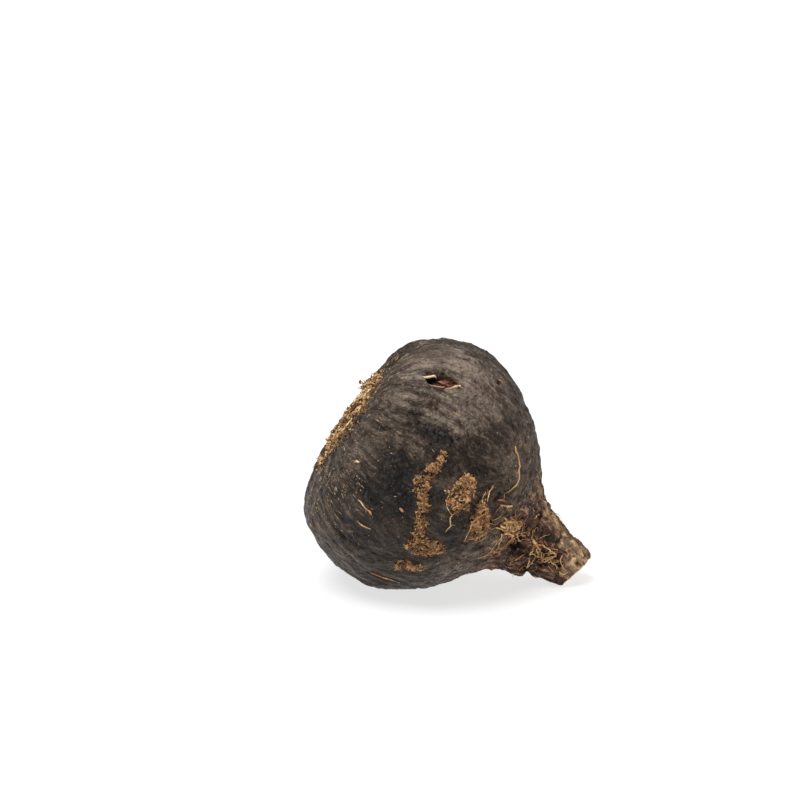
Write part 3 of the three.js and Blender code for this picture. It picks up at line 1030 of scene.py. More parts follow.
def build_leaf_bases(colours):
    """A piece for each leaf base of the CAD model."""
    finish = leaf_finish(colours)
    nodes = sorted(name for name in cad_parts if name.startswith("leaf_base"))
    for index, node in enumerate(nodes):
        build_leaf_base(node, index, finish)


# Pale cut edges of leaf bases in the crown: middle bearing, half angle, radius, depth below the knife's cut
# and half thickness.
CUT_EDGES = [
    (-75, 15, 9.0, -0.15, 0.24),
    (-98, 7, 9.3, -0.3, 0.26),
    (-122, 6, 9.4, -0.2, 0.24),
    (-138, 9, 9.6, 0.1, 0.18),
    (-52, 7, 8.6, 0.2, 0.2),
    (-128, 14, 7.4, 0.3, 0.17),
    (-100, 12, 7.0, 0.4, 0.15),
    (-60, 14, 6.4, 0.3, 0.15),
    (35, 12, 8.4, 1.2, 0.18),
    (88, 14, 7.6, 1.2, 0.16),
    (140, 12, 8.2, 1.2, 0.18),
    (5, 14, 6.2, 0.6, 0.16),
    (60, 12, 5.6, 0.9, 0.14),
    (-160, 12, 5.8, 0.4, 0.14),
]

# Tufts of torn fibre in the crown: radius, bearing and height.
TUFTS = ((9.2, 2, 1.5), (6.4, -18, 2.1), (9.0, -140, 0.7), (7.0, 100, 1.5), (9.4, 178, 0.6))

# Where stubs and crumbs stand, by radius: depth below the plane of the crown's rim, negative above it.
STUB_DEPTHS = [(0, -1.5), (3, -1.3), (4.2, 0.8), (9.2, 0.8), (10, 0.0)]
CRUMB_DEPTHS = [(0, -1.6), (3, -1.4), (4.2, 0.9), (9, 0.9), (10, -0.1), (12, 0.1)]

STUB_COUNT = 300
WISP_COUNT = 240
CRUMB_COUNT = 480
EDGE_CRUMB_COUNT = 130
TUFT_CRUMB_COUNT = 12  # in each tuft
TUFT_FIBRE_COUNT = 16


def crown_place(radius, bearing, depth):
    """The point that far out from the axis and that far below the plane of the crown's rim."""
    return CROWN + radius * radial(bearing) + depth * AXIS


def add_stubs(fibres, rng):
    """Torn stubs that stand on the crown's floor and end below the knife's cut."""
    t = np.linspace(0, 1, 5)[:, None]
    for _ in range(STUB_COUNT):
        radius = 10.4 * math.sqrt(rng.uniform(0, 1))
        bearing = rng.uniform(0, 360)
        way = radial(bearing)
        spin = np.cross(AXIS, way)
        low = looked_up(STUB_DEPTHS, radius) + rng.uniform(-0.6, 0.1)
        lean = rng.normal(0, 0.4) * way + rng.normal(0, 1.0) * spin - rng.uniform(0.0, 0.5) * AXIS
        start = crown_place(radius, bearing, low)
        path = start + rng.uniform(0.3, 0.9) * (lean * t + rng.normal(0, 0.4, 3) * t * t)
        above = -place_of(path)[0].min() - knife_height(radius, bearing) - 0.15
        path = path + AXIS * max(0, above)
        girth = rng.uniform(0.05, 0.13)
        fibres.add(*thread(path, girth * (1.05 - 0.7 * t[:, 0]), 5), tint=rng.uniform(0, 1) ** 2)


def add_wisps(fibres, surface, rng):
    """Short fibres that lie on the skin round the crown's lip, shorter on the near side."""
    t = np.linspace(0, 1, 5)[:, None]
    for _ in range(WISP_COUNT):
        way = radial(rng.uniform(0, 360))
        spin = np.cross(AXIS, way)
        spread = rng.exponential(0.7)
        start, normal = surface.nearest(CROWN + (10.2 + spread) * way - 0.9 * AXIS)
        lean = normal * rng.uniform(0, 0.3) + way * rng.normal(0, 0.5) + spin * rng.normal(0, 0.8)
        long = rng.uniform(0.25, 0.8) * (0.5 if way @ NEAR < -0.3 else 1)
        path = start - 0.05 * normal + long * (lean * t + rng.normal(0, 0.25, 3) * t * t)
        girth = rng.uniform(0.05, 0.12)
        fibres.add(*thread(path, girth * (1.05 - 0.8 * t[:, 0]), 5), tint=rng.uniform(0.0, 0.7))


def add_cut_edges(fibres, rng):
    """Pale ragged edges where the knife went through a leaf base."""
    across = np.linspace(-1, 1, 14)
    for bearing, reach, radius, sunk, girth in CUT_EDGES:
        turns = np.linspace(bearing - reach, bearing + reach, 14)
        height = [knife_height(radius, turn) - sunk for turn in turns]
        ragged = rng.normal(0, 0.06, (14, 3)) + CROWN + radius * radial(turns) - np.outer(height, AXIS)
        path = ragged + np.outer(across, AXIS) * rng.uniform(-0.15, 0.15)
        girths = girth * np.sqrt(np.maximum(0.1, 1 - across**4)) * rng.uniform(0.7, 1.2, 14)
        fibres.add(*thread(path, girths, 6), tint=rng.uniform(0.85, 1.2))


def add_crown_crumbs(crumbs, rng):
    """Crumbs on the crown's floor and round its lip, and more of them along its bottom edge."""
    for _ in range(CRUMB_COUNT):
        bearing = rng.uniform(0, 360)
        radius = rng.choice([9.8 * math.sqrt(rng.random()), rng.normal(10.0, 0.5)])
        low = looked_up(CRUMB_DEPTHS, radius)
        low -= float(lip_rise(math.radians(bearing))) * float(smooth(*LIP, radius))
        middle = crown_place(radius, bearing, low)
        crumbs.add(*crumb(middle, rng.uniform(0.12, 0.38), rng), tint=rng.uniform(0, 0.8))
    for _ in range(EDGE_CRUMB_COUNT):
        bearing, radius = rng.uniform(-165, -15), rng.uniform(6.5, 9.8)
        height = knife_height(radius, bearing) + 0.1 - rng.uniform(0, 1.3)
        middle = crown_place(radius, bearing, -height)
        crumbs.add(*crumb(middle, rng.uniform(0.2, 0.46), rng), tint=rng.uniform(0, 1.1))


def add_tufts(fibres, crumbs, rng):
    """Tufts of fibre with crumbs caught in them."""
    t = np.linspace(0, 1, 5)[:, None]
    for radius, bearing, height in TUFTS:
        way = radial(bearing)
        spin = np.cross(AXIS, way)
        for _ in range(TUFT_CRUMB_COUNT):
            middle = CROWN + radius * way - AXIS * height * rng.uniform(0.2, 0.8) + rng.normal(0, 0.28, 3)
            crumbs.add(*crumb(middle, rng.uniform(0.2, 0.4), rng), tint=rng.uniform(0.3, 1.1))
        for _ in range(TUFT_FIBRE_COUNT):
            start = CROWN + (radius + rng.normal(0, 0.3)) * way + spin * rng.normal(0, 0.4)
            lean = rng.normal(0, 0.3, 3) - AXIS * height * rng.uniform(0.6, 1)
            girths = 0.16 * (1.05 - 0.6 * t[:, 0])
            fibres.add(*thread(start + lean * t, girths, 5), tint=rng.uniform(0.3, 0.9))


def build_crown_fibres():
    """Torn stubs, fibres and crumbs of dead leaf in the crown and round its lip."""
    rng = np.random.default_rng(71)
    surface = Surface()
    fibres, crumbs = Bundle(), Bundle()
    add_stubs(fibres, rng)
    add_wisps(fibres, surface, rng)
    add_cut_edges(fibres, rng)
    add_crown_crumbs(crumbs, rng)
    add_tufts(fibres, crumbs, rng)
    finish = fibre_finish("Maca crown fibre", tint(180, 124, 76), tint(46, 24, 16), tint(248, 226, 174), 3.2)
    fibres.piece("crown_fibres", "leaf_base", finish)
    crumbs.piece("crown_crumbs", "leaf_base", finish)


# ---- Side roots, root hair, soil and flecks ----

# Side roots: places on the skin as along and bearing, with a lift where they stand off it.
ROOTLET_ROUTES = {
    "rootlet_01": [(25.1, 43), (27.2, 45), (28.2, 49), (29.2, 56), (28.4, 64), (28.2, 69)],
    "rootlet_02": [(21.5, 88), (22.0, 91), (22.5, 94), (22.9, 98)],
    "rootlet_03": [(25.2, 65.5), (25.2, 68.5), (25.1, 72)],
    "rootlet_04": [(30.4, 84), (32.9, 83), (34.8, 84.5), (36.5, 85, 0.5)],
    "rootlet_05": [(31.2, 78), (32.1, 75), (34.7, 69), (36.1, 67)],
    "rootlet_06": [(33.1, 89), (33.2, 98), (32.7, 108), (32.4, 117)],
    "rootlet_07": [
        (41.3, 87, 0.3),
        (42.3, 98, 0.7),
        (43.6, 99, 1),
        (44.4, 84, 1.1),
        (43.9, 71, 0.9),
        (42.2, 71, 0.5),
    ],
    "rootlet_08": [(40.6, 97), (41.4, 108), (42.1, 122), (42.6, 136)],
    "rootlet_09": [(44.9, 94), (46, 98), (47.2, 101)],
    "rootlet_10": [(46.4, 70), (46.8, 84), (48.4, 92)],
    "rootlet_11": [(30, -60), (31.5, -72), (31, -88), (33, -100)],
    "rootlet_12": [(37, -30), (38.6, -52, 0.3), (40, -80, 0.5), (38.8, -104)],
}

# How thick each side root is, of the thickest.
ROOTLET_GIRTH = dict.fromkeys(ROOTLET_ROUTES, 0.85) | {
    "rootlet_01": 1,
    "rootlet_02": 0.75,
    "rootlet_03": 0.45,
    "rootlet_05": 0.6,
    "rootlet_06": 0.55,
    "rootlet_08": 0.65,
}

# Dried soil: route over the skin as along, bearing and half width.
SOIL_ROUTES = {
    "soil_crust_furrow": [
        (13.9, 66, 0.3),
        (14.4, 72, 0.6),
        (14.0, 76, 0.9),
        (13.9, 82, 1.5),
        (14.4, 86, 1.1),
        (15.5, 89, 0.8),
        (16.9, 93, 0.8),
        (17.4, 97, 0.9),
        (18.6, 102, 0.8),
        (19.6, 106, 1.0),
    ],
    "soil_crust_belly": [
        (18.2, 109, 0.9),
        (19.4, 109, 1.7),
        (20.9, 108, 2.1),
        (22.8, 107, 1.5),
        (24.8, 107, 0.5),
    ],
    "soil_crust_oval": [(19.6, 70, 0.6), (20.6, 73, 1.6), (21.2, 77, 2.1), (21.4, 81, 2.0), (21.4, 86, 1.2)],
    "soil_crust_neck": [(25.3, 74, 0.5), (25.9, 78, 1.1), (26.7, 83, 1.5), (27.4, 88, 1.6), (28.0, 94, 1.0)],
    "soil_scatter": [(19.3, 125, 0.8), (20.8, 124, 1.1), (22.5, 123, 0.9), (23.6, 119.5, 0.9)],
}

# How much paler than the others some of the soil is.
SOIL_PALENESS = {"soil_crust_oval": 0.28, "soil_crust_neck": 0.28, "soil_crust_furrow": 0.06}

# Single strands that show: route with lifts, radius and paleness.
STRANDS = [
    (
        [
            (19.5, 75, 0.2), (19.1, 78, 0.1), (19.0, 82, 0.1),
            (20, 86, 0.2), (21.4, 88, 0.2), (22.3, 85.5, 0.3),
        ],
        0.1,
        0.8,
    ),
    ([(20.6, 76, 0.5), (21.9, 78, 0.6), (22.1, 82, 0.6), (21.2, 84, 0.5)], 0.12, 0.6),
    ([(25.6, 74, 0.5), (25.4, 72, 0.35), (25.3, 69, 0.3), (25.4, 66, 0.2)], 0.1, 1.1),
    ([(25.0, 76, 0.5), (24.6, 74, 0.3), (24.4, 71, 0.25)], 0.09, 1.0),
    (
        [
            (31.7, 78, 0.5), (32.8, 77, 0.6), (34.3, 79, 0.5),
            (34.6, 74, 0.6), (35.2, 70, 0.5), (35.4, 66, 0.3),
        ],
        0.17,
        1.0,
    ),
    ([(31.2, 80, 0.4), (32.4, 75, 0.6), (33.6, 74, 0.6), (34.8, 77, 0.4)], 0.17, 0.95),
    ([(26.2, 80, 0.6), (25.6, 86, 0.5), (26.2, 92, 0.3), (26.8, 99, 0.1)], 0.12, 0.7),
    ([(26.6, 82, 0.7), (27.2, 88, 0.6), (27.6, 95, 0.2)], 0.12, 0.8),
    ([(31.0, 82, 0.3), (33.1, 84, 0.55), (35.2, 85, 0.5), (37.5, 87, 0.2)], 0.2, 1.2),
    ([(31.2, 79.5, 0.3), (32.0, 79, 0.6), (32.8, 80, 0.6), (33.6, 81.5, 0.4)], 0.2, 0.8),
    ([(31.6, 75.5, 0.3), (32.4, 74.5, 0.6), (33.2, 74.5, 0.6), (34.0, 75, 0.4)], 0.18, 0.7),
    ([(33.9, 77, 0.4), (34.4, 75.5, 0.6), (35.1, 74.5, 0.5)], 0.2, 1.0),
    ([(39.4, 77, 0.3), (40.2, 78.5, 0.5), (41.0, 80.5, 0.5), (41.8, 80, 0.3)], 0.26, 0.9),
    ([(30.6, 76, 0.2), (31.8, 75, 0.4), (33.5, 77, 0.5), (34.4, 80, 0.4)], 0.1, 1.0),
    ([(31.0, 80, 0.3), (33.0, 75, 0.6), (34.9, 69.4, 0.5), (36.4, 68, 0.3)], 0.1, 0.9),
    ([(32.4, 86, 0.4), (33.8, 80, 0.6), (33.2, 73, 0.5), (31.6, 72, 0.3)], 0.09, 0.9),
    (
        [
            (41.2, 82, 0.3), (41.0, 88, 0.6), (42.0, 95, 0.9),
            (43.2, 95, 1.0), (43.4, 88, 0.8), (42.3, 82, 0.4),
        ],
        0.12,
        1.1,
    ),
    ([(41.4, 76, 0.3), (42.8, 71, 0.7), (44.2, 73, 0.9), (44.4, 83, 0.6), (43.6, 90, 0.4)], 0.12, 0.95),
    ([(43.4, 90, 0.5), (44.6, 95, 0.6), (45.8, 98, 0.5), (47.2, 104, 0.2)], 0.13, 1.1),
    ([(40.6, 88, 0.4), (40.9, 96, 0.5), (41.8, 106, 0.4), (42.3, 122, 0.2)], 0.11, 0.9),
    ([(37.0, 56, 0.2), (37.4, 50, 0.3), (37.9, 44, 0.2)], 0.1, 0.8),
    ([(32.2, 86, 0.3), (33.2, 94, 0.4), (33.7, 101, 0.3), (33.4, 110, 0.2)], 0.11, 0.9),
    ([(39.6, 106, 0.3), (39.0, 116, 0.3), (38.8, 128, 0.2)], 0.12, 0.75),
    ([(28.6, 72, 0.3), (29.8, 70, 0.4), (31.0, 69, 0.3)], 0.12, 1.0),
    ([(32.8, 64, 0.3), (34, 61, 0.3), (35.2, 59, 0.2)], 0.13, 0.6),
    ([(47.6, 108, 0.3), (48.6, 104, 0.5), (49.2, 99, 0.4)], 0.11, 1.0),
    ([(38.6, 74, 0.3), (39.8, 80, 0.5), (41.0, 79, 0.4), (41.4, 74, 0.3)], 0.1, 1.0),
]

# Where root hair grows thickest: along, bearing, reach in mm, share of the hairs, length and curl.
HAIR_PATCHES = [
    (29, 84, 2.2, 10, 3.5, 0.9),
    (32.5, 79, 2.2, 14, 3.5, 1.0),
    (35.5, 82, 2.2, 14, 3.5, 1.1),
    (38, 78, 2.2, 10, 3.2, 1.1),
    (40.3, 80, 1.4, 12, 2.6, 1.2),
    (42.5, 84, 1.8, 14, 3.6, 1.4),
    (45, 90, 2.0, 10, 3.0, 1.0),
    (47.5, 75, 2.0, 5, 2.2, 0.8),
    (34, 105, 2.6, 6, 4.0, 0.5),
    (41, 120, 2.6, 7, 3.0, 0.9),
    (44, 150, 2.8, 5, 2.6, 0.8),
    (38, -20, 4.0, 8, 3.0, 0.9),
    (42, -70, 3.5, 12, 3.2, 1.1),
    (35, -90, 3.5, 12, 3.6, 1.0),
    (46, -120, 3.0, 8, 2.6, 1.0),
    (31, -100, 3.0, 6, 3.6, 0.8),
    (42, 35, 3.0, 6, 2.6, 0.9),
    (26, -70, 3.0, 4, 3.0, 0.7),
]


def build_rootlets(sizes, colours):
    """The thread-like side roots, each one tapered and a little wavy."""
    surface = Surface()
    finish = fibre_finish("Maca side root", colours.rootlet, colours.bark, colours.flesh)
    for index, (node, route) in enumerate(ROOTLET_ROUTES.items()):
        rng = np.random.default_rng(200 + index)
        places, normals, lifts = surface.route(route, 0.25)
        count = len(places)
        t = np.linspace(0, 1, count)
        radii = sizes.rootlet_radius / MM * ROOTLET_GIRTH[node] * (1.05 - 0.65 * t)
        radii = radii * (1 + 0.18 * rng.normal(size=count))
        radii = soften(radii[:, None], 2, around=False)[:, 0]
        radii[0] *= 0.6
        sway = soften(rng.normal(size=(count, 3)), 4, around=False) * 0.16
        wave = soften(rng.normal(size=(count, 1)), 6, around=False)[:, 0]
        height = 0.8 * radii + lifts + 0.25 * np.abs(wave) * (t * (1 - t) * 4)
        path = places + normals * height[:, None] + sway
        bundle = Bundle()
        bundle.add(*thread(path, radii, 8), tint=0.55 + 0.35 * rng.random())
        for _ in range(1 + count // 14):
            start = rng.integers(2, count - 1)
            heading = rng.normal(size=3)
            side = surface.wander(path[start], heading, rng.uniform(0.5, 1.6), 0.7, 0.2, rng)
            side = np.vstack([path[start : start + 1], side])
            taper = np.linspace(0.5, 0.15, len(side)) * radii[start]
            bundle.add(*thread(side, taper, 5), tint=rng.uniform(0.3, 1))
        bundle.piece("side_" + node, "rootlet", finish, [node])


def build_hair(sizes):
    """Loops and tangles of fine root hair round the neck and the tail."""
    rng = np.random.default_rng(303)
    surface = Surface()
    bundle = Bundle()
    total = sum(patch[3] for patch in HAIR_PATCHES)
    girth = sizes.hair_radius / MM
    for along, bearing, reach, share, length, curl in HAIR_PATCHES:
        middle = surface.at(along, bearing)[0]
        for _ in range(round(sizes.hair_count * share / total)):
            start = middle + rng.normal(size=3) * reach * 0.6
            run = length * rng.uniform(0.35, 1.3)
            # Most hairs lie on the skin, and the others stand off it in loops.
            lift = rng.choice([0.05, 0.15, 0.45], p=[0.5, 0.3, 0.2])
            path = surface.wander(start, rng.normal(size=3), run, curl, lift, rng)
            taper = np.linspace(1.2, 0.35, len(path)) * girth * rng.choice([0.7, 1, 1.7], p=[0.45, 0.4, 0.15])
            bundle.add(*thread(path, taper, 5), tint=rng.beta(1.3, 1.5))
    for route, radius, paleness in STRANDS:
        places, normals, lifts = surface.route(route, 0.16)
        count = len(places)
        sway = soften(rng.normal(size=(count, 3)), 8, around=False) * 0.18
        path = places + normals * (lifts + 0.5 * radius)[:, None] + sway
        taper = 0.82 * radius * (1.15 - 0.6 * np.linspace(0, 1, count)) * rng.uniform(0.75, 1.25, count)
        points, faces = thread(path, taper, 6)
        shade = soften(rng.normal(size=(count, 1)), 4, around=False)[:, 0] * 0.5
        shade = np.concatenate([np.repeat(shade, 6), shade[:1], shade[-1:]])
        bundle.add(points, faces, tint=0.95 * paleness - 0.05 + shade)
    finish = fibre_finish("Maca root hair", tint(206, 150, 98), tint(72, 42, 30), tint(250, 210, 152), 1.7)
    bundle.piece("root_hair", "rootlet", finish)


SOIL_STEP = 0.13  # distance between the points of a cake of soil
SOIL_REACH = 1.6  # how far a cake's points go to each side of its route, in half widths
CRUMBS_PER_AREA = 22  # crumbs on each square millimetre of soil
HAIRS_PER_AREA = 1.1


def soil_sheet(surface, route):
    """A grid of places over the skin along a route of soil, their directions out of it, how far each is from
    the middle of the cake in half widths, the half width of each row, and the cake's area."""
    places, normals, widths = surface.route(route, SOIL_STEP)
    count = len(places)
    across = max(16, int(widths.max() * 2 * SOIL_REACH / SOIL_STEP))
    side = np.cross(np.gradient(places, axis=0), normals)
    side /= np.linalg.norm(side, axis=1, keepdims=True)
    v = np.linspace(-SOIL_REACH, SOIL_REACH, across)
    t = np.linspace(0, 1, count)
    flat = np.empty((count, across, 3))
    outward = np.empty((count, across, 3))
    for i in range(count):
        for j in range(across):
            flat[i, j], outward[i, j] = surface.nearest(places[i] + side[i] * v[j] * widths[i])
    ends = smooth(0.1, 0, np.minimum(t, 1 - t))[:, None]
    edge = np.maximum(np.abs(v), 1.2 * ends)
    area = widths.mean() * 2 * np.linalg.norm(np.diff(places, axis=0), axis=1).sum()
    return flat, outward, edge, widths, area


def build_soil_patch(surface, node, index, thickness, colours, finish):
    """One cake of soil with its loose crumbs, and the root hair caught in it."""
    rng = np.random.default_rng(400 + index)
    rough = Noise(80 + index)
    flat, outward, edge, widths, area = soil_sheet(surface, SOIL_ROUTES[node])
    count, across = edge.shape
    flat, outward, edge = flat.reshape(-1, 3), outward.reshape(-1, 3), edge.reshape(-1)
    edge = edge + 0.6 * rough.layered(flat, 1.5, 3)
    body = smooth(1.05, 0.6, edge)
    lumps = 0.6 + 1.0 * rough.layered(flat + 9, 1.3, 4)
    holes = smooth(0.16, 0.4, rough.layered(flat - 5, 1.1, 3))
    thin = np.repeat(smooth(0, 1.4, widths), across)
    height = thickness * thin * body * lumps * (1 - 0.95 * holes) - 0.1 * smooth(0.35, 0.05, body)
    raised = flat + outward * height[:, None]
    # Painted shade in the cake's holes and low parts.
    deep = np.clip(0.9 * holes + smooth(0.5, 0.05, lumps), 0, 1)
    shade = 0.45 + 0.9 * rough(flat + 15, 1.2)
    cake = Bundle()
    cake.add(raised, grid_faces(count, across, wrap=False), deep=deep, tint=shade)

    inside = np.flatnonzero(edge < 1.12)
    patchy = rough.layered(flat + 15, 1.2, 2)
    for _ in range(int(CRUMBS_PER_AREA * area)):
        pick = rng.choice(inside)
        size = 0.08 + 0.36 * rng.random() ** 2.4
        lift = max(0, height[pick]) + 0.1 * size
        middle = flat[pick] + outward[pick] * lift + rng.normal(size=3) * 0.12
        shade = rng.uniform(0.1, 0.8) + SOIL_PALENESS.get(node, 0) + 0.9 * patchy[pick]
        points, faces = crumb(middle, size, rng, 0.7, outward[pick])
        cake.add(points, faces, deep=rng.choice([0, 0.4], p=[0.85, 0.15]), tint=shade)
    name = node.split("_")[-1]
    cake.piece("soil_cake_" + name, "soil", finish, [node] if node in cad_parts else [])

    hairs = Bundle()
    inside = np.flatnonzero(edge < 0.7)
    for _ in range(int(HAIRS_PER_AREA * area)):
        pick = rng.choice(inside)
        path = surface.wander(flat[pick], rng.normal(size=3), rng.uniform(0.6, 1.7), 1.3, 0.3, rng)
        path = path + outward[pick] * rng.uniform(0.15, 0.5)
        taper = np.linspace(1.1, 0.4, len(path)) * rng.uniform(0.04, 0.1)
        hairs.add(*thread(path, taper, 5), tint=rng.uniform(0.1, 1.1))
    shades = colours.rootlet, tint(110, 74, 48), tint(226, 184, 132)
    hairs.piece("soil_hair_" + name, "rootlet", fibre_finish("Maca hair in soil", *shades))


def build_soil(sizes, colours):
    """Dried soil: crumbly cakes with ragged edges, loose crumbs and root hair caught in them."""
    surface = Surface()
    finish = soil_finish(colours)
    for index, node in enumerate(SOIL_ROUTES):
        build_soil_patch(surface, node, index, sizes.soil_thickness / MM, colours, finish)


CRUMB_FLECKS = 0.45  # share of the flecks that are crumbs and not slivers


def build_flecks(sizes, colours):
    """Pale crumbs and slivers of dry skin that lie along its wrinkles, and slips of torn skin."""
    rng = np.random.default_rng(505)
    surface = Surface()
    bundle = Bundle()
    along, bearing, _ = surface.places
    near_crown = smooth(16, 4, along) * smooth(60, 20, np.abs(turn_between(bearing, 118)))
    patchy = Noise(57).layered(surface.points, 5, 3)
    weight = 0.2 + 1.6 * near_crown + 0.8 * smooth(6, 0.5, along) + 0.35 * smooth(20, 30, along)
    weight *= smooth(-0.5, 0.5, patchy)
    weight *= smooth(49, 47, along)
    choices = rng.choice(len(weight), sizes.fleck_count, p=weight / weight.sum())
    for pick in choices:
        place, normal = surface.nearest(surface.points[pick])
        way = np.cross(normal, np.cross(AXIS, normal))
        way /= np.linalg.norm(way) + 1e-9
        way = way + rng.normal(0, 0.3, 3)
        if rng.random() < CRUMB_FLECKS:
            size = rng.uniform(0.06, 0.15)
            bundle.add(*crumb(place + normal * 0.2 * size, size, rng, 0.6, normal), tint=rng.uniform(0, 1.1))
            continue
        length = 0.25 + 0.9 * rng.random() ** 2
        t = np.linspace(-1, 1, 5)
        girth = rng.uniform(0.03, 0.09)
        path = []
        for u in t:
            point, out = surface.nearest(place + way * u * length / 2)
            path.append(point + out * girth * 0.2)
        radii = girth * np.sqrt(np.maximum(0.06, 1 - t**2))
        bundle.add(*thread(path, radii, 5), tint=rng.uniform(0, 1))
    finish = fibre_finish("Maca skin fleck", tint(158, 132, 106), colours.plum, tint(232, 208, 170))
    bundle.piece("skin_flecks", "skin", finish)
    slips = Bundle()
    for route, girth, paleness in SLIPS:
        places, normals, lifts = surface.route(route, 0.12)
        t = np.linspace(-1, 1, len(places))
        ragged = 1 + 0.2 * soften(rng.normal(size=(len(t), 1)), 2, around=False)[:, 0]
        radii = girth * (0.15 + 0.85 * (1 - t**2) ** 0.8) * ragged
        path = places + normals * (lifts + 0.35 * girth)[:, None]
        slips.add(*thread(path, radii, 8), tint=paleness + 0.1 * rng.normal(size=len(t) * 8 + 2))
    finish = fibre_finish("Maca torn skin", tint(190, 132, 96), tint(104, 66, 50), tint(250, 226, 180))
    slips.piece("torn_skin", "skin", finish)


# ---- Materials ----


def skin_finish(colours):
    """Black wrinkled skin that turns brown on the neck, with the fibrous crown and the cut tail."""
    look = Finish("Maca skin")
    at = look.millimetres()
    grain = look.vector("grain")
    broad = look.noise(at, 0.16, 3.0)
    cool = look.noise(at + (40.0, 0.0, 0.0), 0.3, 4.0, 0.6)
    lines = look.noise(grain, 0.9, 4.0, 0.64)
    mottle = look.noise(at, 0.9, 4.0, 0.6)
    speck = look.noise(at, 3.2, 3.0, 0.75)
    patchy = look.noise(at, 0.4, 4.0, 0.6)
    crease = (look.noise(grain + (9.0, 0.0, 0.0), 0.7, 4.0, 0.65) - 0.5).maths("ABSOLUTE")
    crease = (1 - crease.between(0.0, 0.045)) * mottle.between(0.42, 0.56)
    bark, crown, tone = look.value("bark"), look.value("crown"), look.value("tone")

    # How pale the skin is at each point: wrinkles, mottling, painted shade in the creases, and broad light
    # and dark parts that are mostly painted light and shade.
    pale = (lines - 0.5) * 1.45 + (mottle - 0.5) * 1.25 + look.value("ridge") * 0.16
    pale = pale + tone * 0.38 + (patchy - 0.5) * 0.35 + 0.45 - crease * 0.26
    black = (0.0, tint(10, 6, 4)), (0.35, tint(47, 34, 23))
    warm = pale.ramp(*black, (0.62, colours.skin), (1.0, colours.worn))
    ruddy = pale.ramp(*black, (0.62, colours.plum), (1.0, tint(132, 110, 98)))
    cold = pale.ramp(*black, (0.62, colours.slate), (1.0, tint(124, 116, 98)))
    base = (broad.between(0.35, 0.7) * 0.7).mix(warm, ruddy)
    base = (cool.between(0.42, 0.68) * 0.55).mix(base, cold)
    glints = speck.between(0.6, 0.74) * (tone.between(-0.9, 0.5) * 0.7 + 0.15)
    base = glints.mix(base, tint(196, 174, 146))
    flecks = look.cells(grain * (1.0, 1.0, 1.3) + (speck - 0.5) * 0.3, 0.9)
    flecks = (1 - flecks.between(0.12, 0.24)) * patchy.between(0.46, 0.58) * tone.between(-0.5, 0.3)
    base = (flecks * 0.7).mix(base, tint(180, 148, 116))
    dust = look.value("dust") * mottle.between(0.4, 0.62)
    base = (dust * 0.6).mix(base, tint(128, 96, 70))

    # The neck and the tail: brown, with tan ridges, purple-brown smooth parts and dark hollows; the hollows'
    # darkness is painted shade, and the tail's top has painted light.
    tan = (lines - 0.5) * 1.6 + (mottle - 0.5) * 1.5 + look.value("ridge") * 0.12 + tone * 0.3 + 0.42
    hollows = (0.0, tint(20, 12, 10)), (0.3, tint(70, 46, 36))
    wood = tan.ramp(*hollows, (0.55, colours.bark), (1.0, tint(232, 196, 150)))
    wood = (cool.between(0.48, 0.6) * 0.7).mix(wood, tint(70, 50, 50))
    base = (bark + (mottle - 0.5) * 1.2).between(0.2, 0.8).mix(base, wood)

    rings = look.noise(at, 2.2, 4.0, 0.6).between(0.35, 0.65)
    base = look.value("cut").mix(base, rings.mix(tint(222, 176, 116), tint(255, 238, 192)))

    torn = crown + (speck - 0.5) * 1.0 + (mottle - 0.5) * 1.4
    fibrous = look.noise(at, 1.4, 5.0, 0.75)
    browns = (0.4, tint(30, 16, 10)), (0.52, tint(128, 82, 50)), (0.62, tint(206, 160, 100))
    straw = fibrous.ramp(*browns, (0.72, colours.flesh))
    base = torn.between(0.66, 0.8).mix(base, straw)
    # Painted shade: near black in the furrows, pits and tail rings of the skin, and on the crown's floor the
    # lower it lies.
    base = (look.value("pit").between(0.1, 0.85) * 0.93).mix(base, tint(16, 9, 7))
    flesh = fibrous.mix(tint(64, 34, 26), tint(150, 100, 78))
    base = (look.value("raw") * mottle.between(0.35, 0.55)).mix(base, flesh)

    relief = look.noise(grain, 0.75, 3.0, 0.5)
    grit = look.noise(at, 1.0, 2.5, 0.55)
    height = relief + grit * 0.7 - crease * 0.06
    rough = patchy.between(0.3, 0.7) * 0.14 + speck * 0.3 + 0.24 + torn.between(0.6, 0.8) * 0.35
    rough = rough + bark * 0.2 + look.value("dust") * 0.1
    look.set(Specular_IOR_Level=0.3)
    return look.set(Base_Color=base, Roughness=rough, Normal=look.bump(height, 1.7))


def leaf_finish(colours):
    """Dried leaf: straw-coloured strands, with painted shade darkening them towards their roots, low in the
    crown.
    """
    look = Finish("Maca leaf base")
    at = look.millimetres()
    lines = look.noise(look.vector("strands"), 5.0, 4.0, 0.7)
    speck = look.noise(at, 3.0, 4.0, 0.65)
    patchy = look.noise(at, 0.5, 3.0)
    tip = look.value("tip")
    own = lines * 0.9 + speck * 0.8 + tip * 0.3
    scale = (own - 0.9) * 2.2 + (patchy - 0.5) * 0.9
    browns = (0.0, colours.rust), (0.3, tint(124, 80, 50))
    base = scale.ramp(*browns, (0.55, colours.straw), (0.9, tint(250, 230, 178)))
    # Painted shade: the slips turn near black below their tops, where they stand low in the crown between
    # each other.
    dark = (tip + (speck - 0.5) * 1.4).between(0.66, 0.95)
    depths = patchy.between(0.45, 0.55).mix(tint(30, 17, 10), tint(84, 44, 28))
    base = ((1 - dark) * 0.95).mix(base, depths)
    look.set(Specular_IOR_Level=0.3)
    return look.set(Base_Color=base, Roughness=0.75, Normal=look.bump(lines + speck, 0.2))


